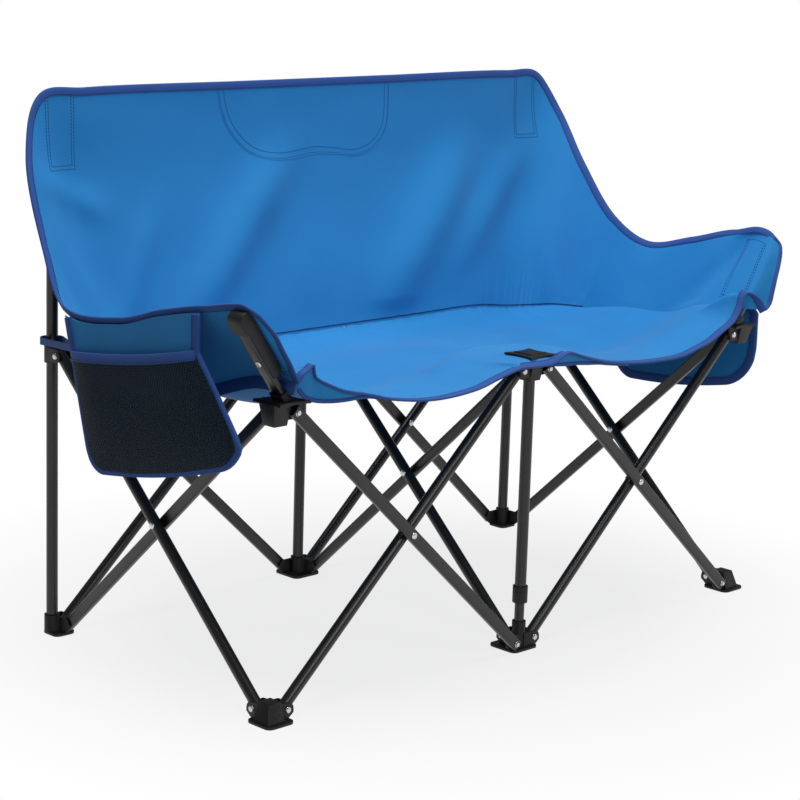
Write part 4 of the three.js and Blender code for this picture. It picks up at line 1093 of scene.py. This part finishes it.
# The front hem stands up in folds at the left corner, beside the middle hub and at the right corner
HEM = Spline(
    (-0.513, -0.295, 0.504), (-0.507, -0.296, 0.514), (-0.495, -0.296, 0.521), (-0.486, -0.295, 0.526),
    (-0.481, -0.294, 0.509), (-0.468, -0.294, 0.500), (-0.453, -0.294, 0.493), (-0.424, -0.294, 0.481),
    (-0.374, -0.294, 0.469), (-0.313, -0.293, 0.453), (-0.229, -0.292, 0.443), (-0.143, -0.293, 0.448),
    (-0.100, -0.297, 0.460), (-0.058, -0.301, 0.470), (-0.036, -0.303, 0.470), (-0.012, -0.303, 0.469),
    (0.010, -0.303, 0.469), (0.024, -0.302, 0.472), (0.039, -0.301, 0.478), (0.053, -0.300, 0.482),
    (0.064, -0.299, 0.480), (0.104, -0.295, 0.467), (0.160, -0.293, 0.453), (0.236, -0.292, 0.443),
    (0.300, -0.292, 0.440), (0.350, -0.292, 0.441), (0.392, -0.293, 0.450), (0.419, -0.294, 0.457),
    (0.450, -0.294, 0.470), (0.485, -0.294, 0.487), (0.502, -0.294, 0.508), (0.511, -0.294, 0.530),
    (0.521, -0.297, 0.531), (0.536, -0.305, 0.521), (0.547, -0.312, 0.502),
)
HEM_FIRST = HEM.points[0].x
HEM_LAST = HEM.points[-1].x


@functools.lru_cache(maxsize=None)
def hem_at(across):
    x = lerp(HEM_FIRST, HEM_LAST, (across + 1) / 2)
    return HEM.at(found(lambda share: HEM.at(share).x, x, 0.0, 1.0, 24))


@functools.lru_cache(maxsize=None)
def loose_seat(across, share):
    """The seat before its hem is drawn to its place."""
    step = SEAT_SHARE * (1 - share)
    side = SEAM.at(step)
    corner = seat_rear_edge(1.0).lerp(seat_front_edge(1.0), share)
    point = seat_rear_edge(across).lerp(seat_front_edge(across), share)
    point += Vector(((side.x - corner.x) * across, side.y - corner.y, side.z - corner.z))
    point.z -= SEAT_SAG * (1 - across ** 4) * math.sin(math.pi * share)
    away = math.hypot(point.x, point.y - FRONT_ROW)
    rests = 1 - smoothstep(HUB_REST_R, HUB_FALL_R, away)
    point.z = lerp(point.z, CLOTH_ON_HUB, rests)
    free = smoothstep(0, 0.12, share) * smoothstep(1.0, 0.9, abs(across)) * (1 - rests)
    ripple = noise.noise(Vector((point.x * 8, point.y * 8, 5)))
    pucker = noise.noise(Vector((across * 45, share * 4, 9))) * smoothstep(0.25, 0, share)
    point.z += SEAT_RIPPLE * ripple * free + SEAT_PUCKER * pucker
    shift = arm_front("left" if across < 0 else "right", step, 0) * abs(across) ** 8
    return point + Vector((math.copysign(shift.x, across), shift.y, shift.z))


def seat(across, share):
    """across goes from -1 on the left to 1 on the right, and share from the rear seam to the front hem."""
    hem = hem_at(across)
    drawn = hem - loose_seat(across, 1.0)
    over_hub = smoothstep(0.095, 0.045, abs(hem.x))
    return loose_seat(across, share) + drawn * smoothstep(lerp(0.80, 0.985, over_hub), 1, share)


SEAT_GRID = (440, 48)
SEAT_UV = (1.08, 0.23)
SEAT_PARTS = {"seat_rear": (0.0, 0.5), "seat_front": (0.5, 1.0)}
for node, (first, last) in SEAT_PARTS.items():
    def surface(u, v):
        return seat(lerp(1, -1, u), lerp(first, last, 1 - (1 - v) ** CLOSER))

    half = cloth(node + "_cloth", surface, SEAT_GRID, SEAT_UV, node, node, gather_back)
    trim = []
    if node == "seat_front":
        trim = bound(node, rim(surface, lambda t: ((t, 1.0), (t, 0.90)), 420), node, gather_back)

# The seat's under layer shows below the hem where that stands up: strips with a lower edge, across and up
Flap = namedtuple("Flap", "flat edge")
FLAPS = {
    "corner": Flap((0.17, 0.027), Spline((-0.511, 0.492), (-0.500, 0.480), (-0.478, 0.471), (-0.449, 0.466),
                                         (-0.420, 0.464), (-0.384, 0.464), (-0.350, 0.461))),
    "middle": Flap((0.20, 0.012), Spline((0.020, 0.465), (0.043, 0.462), (0.079, 0.459), (0.111, 0.455),
                                         (0.140, 0.452), (0.178, 0.446), (0.215, 0.444))),
}
FLAP_GRID = (60, 14)
FLAP_BACK = 0.0065  # lower edge behind the hem
FLAP_LEAST = 0.004
FLAP_ROOT = Vector((0, 0.0035, 0.0005))
for name, flap in FLAPS.items():
    def surface(u, v):
        x, z = flap.edge.at(1 - u)
        hem = seat(2 * (x - HEM_FIRST) / (HEM_LAST - HEM_FIRST) - 1, 1.0)
        low = Vector((x, hem.y + FLAP_BACK, min(z, hem.z - FLAP_LEAST)))
        return low.lerp(hem + FLAP_ROOT, 1 - v)

    strip = cloth("seat_flap_" + name, surface, FLAP_GRID, flap.flat, "seat_front", None, gather_back)
    low_rim = rim(surface, lambda t: ((t, 1.0), (t, 0.9)), 80)
    bound("flap_" + name, low_rim, "seat_front", gather_back, FLAP_BINDING)

# Sleeves behind the back for the ends of the uprights
SLEEVE_LAYER = 0.0009
SLEEVE_R = UPRIGHT_R + 0.0018
SLEEVE_FRONT = BACK_FACE + CLOTH / 2 + SLEEVE_LAYER
SLEEVE_BOTTOM = BACK_TOP - SLEEVE_UNDER - POCKET_HEIGHT
SLEEVE_TOP = UPRIGHT_TOP + 0.008
SLEEVE_FLAT = (0.085, 0.12)
SLEEVE_GRID = (64, 48)
SLEEVE_LINES = (0.02, 0.06, 0.94, 0.98)
SLEEVE_DEEP = REAR_ROW - SLEEVE_FRONT
SLEEVE_SIDE = ((POCKET_WIDTH / 2, 0), (0.017, 0), (0.0125, 0.003), (SLEEVE_R, SLEEVE_DEEP),
               (SLEEVE_R * 0.71, SLEEVE_DEEP + SLEEVE_R * 0.71))
SLEEVE_BACK = (0, SLEEVE_DEEP + SLEEVE_R)
sleeve_section = Spline(*((-x, y) for x, y in SLEEVE_SIDE), SLEEVE_BACK, *reversed(SLEEVE_SIDE))


@functools.lru_cache(maxsize=None)
def behind_back(x, z):
    """How far a sleeve's sewn edge stands behind its flat place to lie on the back."""
    return wall(*back_place(x, z)).y + CLOTH / 2 + SLEEVE_LAYER - SLEEVE_FRONT


for column, x in COLUMNS.items():
    node = "sleeve_" + column

    def surface(u, v):
        section = sleeve_section.at(u)
        up = lerp(SLEEVE_BOTTOM, SLEEVE_TOP, v)
        over = max(0, (up - UPRIGHT_TOP) / (SLEEVE_TOP - UPRIGHT_TOP))
        stand = section.y * math.sqrt(max(0, 1 - over * over))
        on_back = smoothstep(0.006, 0, section.y)
        if on_back:
            stand += behind_back(round(x + section.x, 4), round(min(up, UPRIGHT_TOP), 4)) * on_back
        return Vector((x + section.x, SLEEVE_FRONT + stand, up))

    sleeve = cloth(node + "_cloth", surface, SLEEVE_GRID, SLEEVE_FLAT, body_of[node], node)
    rows = [(on_surface(surface, lambda t: (u, t), 40), 0, STITCH_LIFT) for u in SLEEVE_LINES]
    stitching(node, rows, body_of[node])

# Side bags: a panel hung outside the arm and an open-topped mesh pocket on it
BAG_X = EDGE_X + SOLID_HALF + 0.0023
BAG_NECK = 0.542
BAG_TOP_FRONT = -0.188
BAG_TOP_REAR = 0.127
BAG_LOW_Y = 0.058
BAG_LOW_REAR = 0.318
BAG_SAG = 0.010
BAG_WAVE = 0.0008
BAG_UNDER = 0.009  # a panel's top below the arm's edge
BAG_CORNER_REAR = 0.034
BAG_GRID = (70, 56)
BAG_UV = (0.33, 0.24)
MOUTH_REAR = 0.496
MOUTH_FRONT = 0.543
MOUTH_SAG = 0.004
NET_BULGE = 0.01395
NET_OUT = 0.0022
NET_INSET = 0.004
NET_THICK = 0.0009
NET_GRID = (70, 48)
NET_UV = (0.33, 0.16)
# How each bag hangs: the rear end of its top above the arm's edge, its front corner and that corner's round
Bag = namedtuple("Bag", "rear_top flare flare_z low_front corner")
BAGS = {
    "left": Bag(-0.020, -0.288, 0.418, 0.394, 0.044),
    "right": Bag(-0.003, -0.250, 0.480, 0.356, 0.060),
}


def bag_place(bag, u, z, inset):
    """A bag's Y at a height, from its front edge to its rear edge."""
    flare = min(1, max(0, (BAG_NECK - z) / (BAG_NECK - bag.flare_z)))
    front = lerp(BAG_TOP_FRONT, bag.flare, flare) + inset
    top = ARM_EDGE_Z + bag.rear_top
    rear = lerp(BAG_TOP_REAR, BAG_LOW_Y, (top - z) / (top - BAG_LOW_REAR)) - inset
    return lerp(front, rear, u)


def bag_bottom(bag, u, inset):
    """Height of a bag's lower edge, which sags and is rounded up at both ends."""
    width = BAG_LOW_Y - bag.flare
    height = lerp(bag.low_front, BAG_LOW_REAR, u) + inset - BAG_SAG * math.sin(math.pi * u)
    for end, corner in ((u * width, bag.corner), ((1 - u) * width, BAG_CORNER_REAR)):
        if end < corner:
            height += corner - math.sqrt(corner ** 2 - (corner - end) ** 2)
    return height


@functools.lru_cache(maxsize=None)
def under_binding(side, y):
    """Height at which a bag's panel is sewn on, just under the tape of the arm's edge."""
    edge = EDGES[side]
    return edge.at(found(lambda step: edge.at(step).y, y, 0.1, 0.5, 16)).z - BAG_UNDER


for side, sense in SIDES.items():
    body = "hub_" + side
    bag = BAGS[side]

    def panel_surface(u, v):
        top = under_binding(side, lerp(BAG_TOP_FRONT, BAG_TOP_REAR, u))
        z = lerp(bag_bottom(bag, u, 0), top, v)
        wave = noise.noise(Vector((u * 4, v * 4, 2 + sense)))
        x = BAG_X + BAG_WAVE * wave * smoothstep(1, 0.8, v)
        return Vector((sense * x, bag_place(bag, u, z, 0), z))

    def net_surface(u, v):
        mouth = lerp(MOUTH_FRONT, MOUTH_REAR, u) - MOUTH_SAG * math.sin(math.pi * u)
        z = lerp(bag_bottom(bag, u, NET_INSET), mouth, v)
        fill = (1 - (2 * u - 1) ** 6) * (1 - (1 - v) ** 5) * lerp(1, 0.75, v ** 3)
        sag = 1 + 0.16 * noise.noise(Vector((u * 3, v * 3, 7 * sense)))
        x = BAG_X + NET_OUT + NET_BULGE * fill * sag
        return Vector((sense * x, bag_place(bag, u, z, NET_INSET), z))

    def outline(t):
        """Down the rear edge, along the bottom and up the front edge."""
        if t < 0.33:
            v = (1 - t / 0.33) * 0.98
            return (1.0, v), (0.97, v)
        if t > 0.67:
            v = (t - 0.67) / 0.33 * 0.98
            return (0.0, v), (0.03, v)
        u = 1 - (t - 0.33) / 0.34
        return (u, 0.0), (lerp(u, 0.5, 0.04), 0.05)

    panel = cloth("bag_panel_" + side, panel_surface, BAG_GRID, BAG_UV, body, "bag_" + side, gather_arm)
    net = cloth("mesh_pocket_" + side, net_surface, NET_GRID, NET_UV, body, "pocket_" + side, gather_arm,
                MESH, NET_THICK)
    edge = rim(panel_surface, outline, 240)
    mouth = rim(net_surface, lambda t: ((t, 1.0), (t, 0.95)), 90)
    trim = bound("bag_" + side, edge, body, gather_arm, BAG_BINDING, BAG_TAPE_THICK)
    band = bound("mouth_" + side, mouth, body, gather_arm, MOUTH_BINDING)

# Webbing loops that tie the bags to the rear uprights and slide up them as the frame folds
STRAP_Z = 0.499
STRAP_WIDE = 0.011
STRAP_THICK = 0.0016
STRAP_R = UPRIGHT_R + 0.009
STRAP_DROP = 0.021
STRAP_ARC = 30
TIE_UNDER = 0.0025  # a strap's end inside the bag's panel
TIE_AHEAD = 0.012
TIE_APART = 0.0018
for side, sense in SIDES.items():
    node = "strap_" + side
    post = Vector((BAY, REAR_ROW, STRAP_Z))
    tie = Vector((BAG_X - TIE_UNDER, bag_place(BAGS[side], 1, STRAP_Z, 0) - TIE_AHEAD, STRAP_Z))
    reach = tie - post
    spread = math.acos(STRAP_R / reach.length)
    bearing = math.atan2(reach.y, reach.x)
    line = [tie]
    for i in range(STRAP_ARC + 1):
        turn = bearing + spread + (2 * math.pi - 2 * spread) * i / STRAP_ARC
        out = Vector((math.cos(turn), math.sin(turn), 0)) * STRAP_R
        line.append(post + out - Vector((0, 0, STRAP_DROP)))
    line.append(tie + Vector((TIE_APART, 0, 0)))
    tall = Vector((0, 0, STRAP_WIDE / 2))
    rings = []
    for point, along in zip(line, runs(line)):
        flat = Vector((along.y, -along.x, 0)).normalized() * STRAP_THICK / 2
        rings.append([point + flat + tall, point - flat + tall, point - flat - tall, point + flat - tall])
    strap = piece(node + "_web", mirrored(skin(rings), sense), NAVY, "slider_" + side, STRAP_SHARP)
    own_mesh(strap)
    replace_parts(strap, node)

# The studio: a pale floor that fades to white, soft lamps and the camera
FLOOR_R = 14.0
floor_shape = bmesh.new()
bmesh.ops.create_circle(floor_shape, cap_ends=True, segments=96, radius=FLOOR_R)
floor_mesh = bpy.data.meshes.new("floor")
floor_shape.to_mesh(floor_mesh)
floor_shape.free()
placed("floor", floor_mesh)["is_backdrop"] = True
pale = Finish("pale_floor", None, Base_Color=(0.45, 0.45, 0.45, 1), Roughness=0.9)
floor_mesh.materials.append(pale.material)
away = pale.node("ShaderNodeVectorMath", {"operation": "LENGTH"}, {0: pale.place()}, "Value")
far = ((away - 0.4) / 0.55).clamped() * 0.2 + 0.8
pale.show(far * pale.rays("Camera", "Glossy", "Transmission"), Value(pale, pale.shader.outputs[0]),
          pale.node("ShaderNodeEmission"), "Material Output")

scene = bpy.context.scene
scene.view_settings.view_transform = "Standard"
scene.world = bpy.data.worlds.new("studio")
scene.world.use_nodes = True
sky = Nodes(scene.world.node_tree)
WHITE = (1, 1, 1, 1)
lit = sky.tree.nodes["Background"]
sky.feed(lit, {"Color": WHITE, "Strength": 0.24})
plain = sky.node("ShaderNodeBackground", {}, {"Color": WHITE})
sky.show(sky.rays("Camera", "Transmission"), Value(sky, lit.outputs[0]), plain, "World Output")


def softbox(name, place, aim, size, watts):
    lamp = bpy.data.lights.new(name, "AREA")
    lamp.size = size
    lamp.energy = watts
    made = placed(name, lamp)
    made.location = place
    made.rotation_euler = (Vector(aim) - Vector(place)).to_track_quat("-Z", "Y").to_euler()


softbox("front", (-0.8, -3.0, 2.2), (0, 0, 0.6), 1.3, 27)
softbox("top", (-0.2, -0.1, 3.0), (0, -0.1, 0.5), 1.7, 73)
softbox("side", (2.6, -2.2, 1.3), (0, 0, 0.5), 1.0, 13)

AZIMUTH = math.radians(-44.36)
ELEVATION = math.radians(11.35)
ROLL = math.radians(1.71)
DISTANCE = 2.94812
TARGET = Vector((-0.56783, -0.51903, 0.57687))
level = math.cos(ELEVATION)
towards = Vector((math.sin(AZIMUTH) * level, -math.cos(AZIMUTH) * level, math.sin(ELEVATION)))
lens = bpy.data.cameras.new("camera")
lens.lens = 101.675
lens.sensor_width = 36
lens.shift_x = 0.02
lens.shift_y = -0.0472
camera = placed("camera", lens)
camera.rotation_mode = "QUATERNION"
camera.location = TARGET + towards * DISTANCE
camera.rotation_quaternion = (-towards).to_track_quat("-Z", "Y") @ Quaternion((0, 0, 1), ROLL)
scene.camera = camera

low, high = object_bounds()
{"cad": [list(cad_low), list(cad_high)], "visual": [list(low), list(high)]}
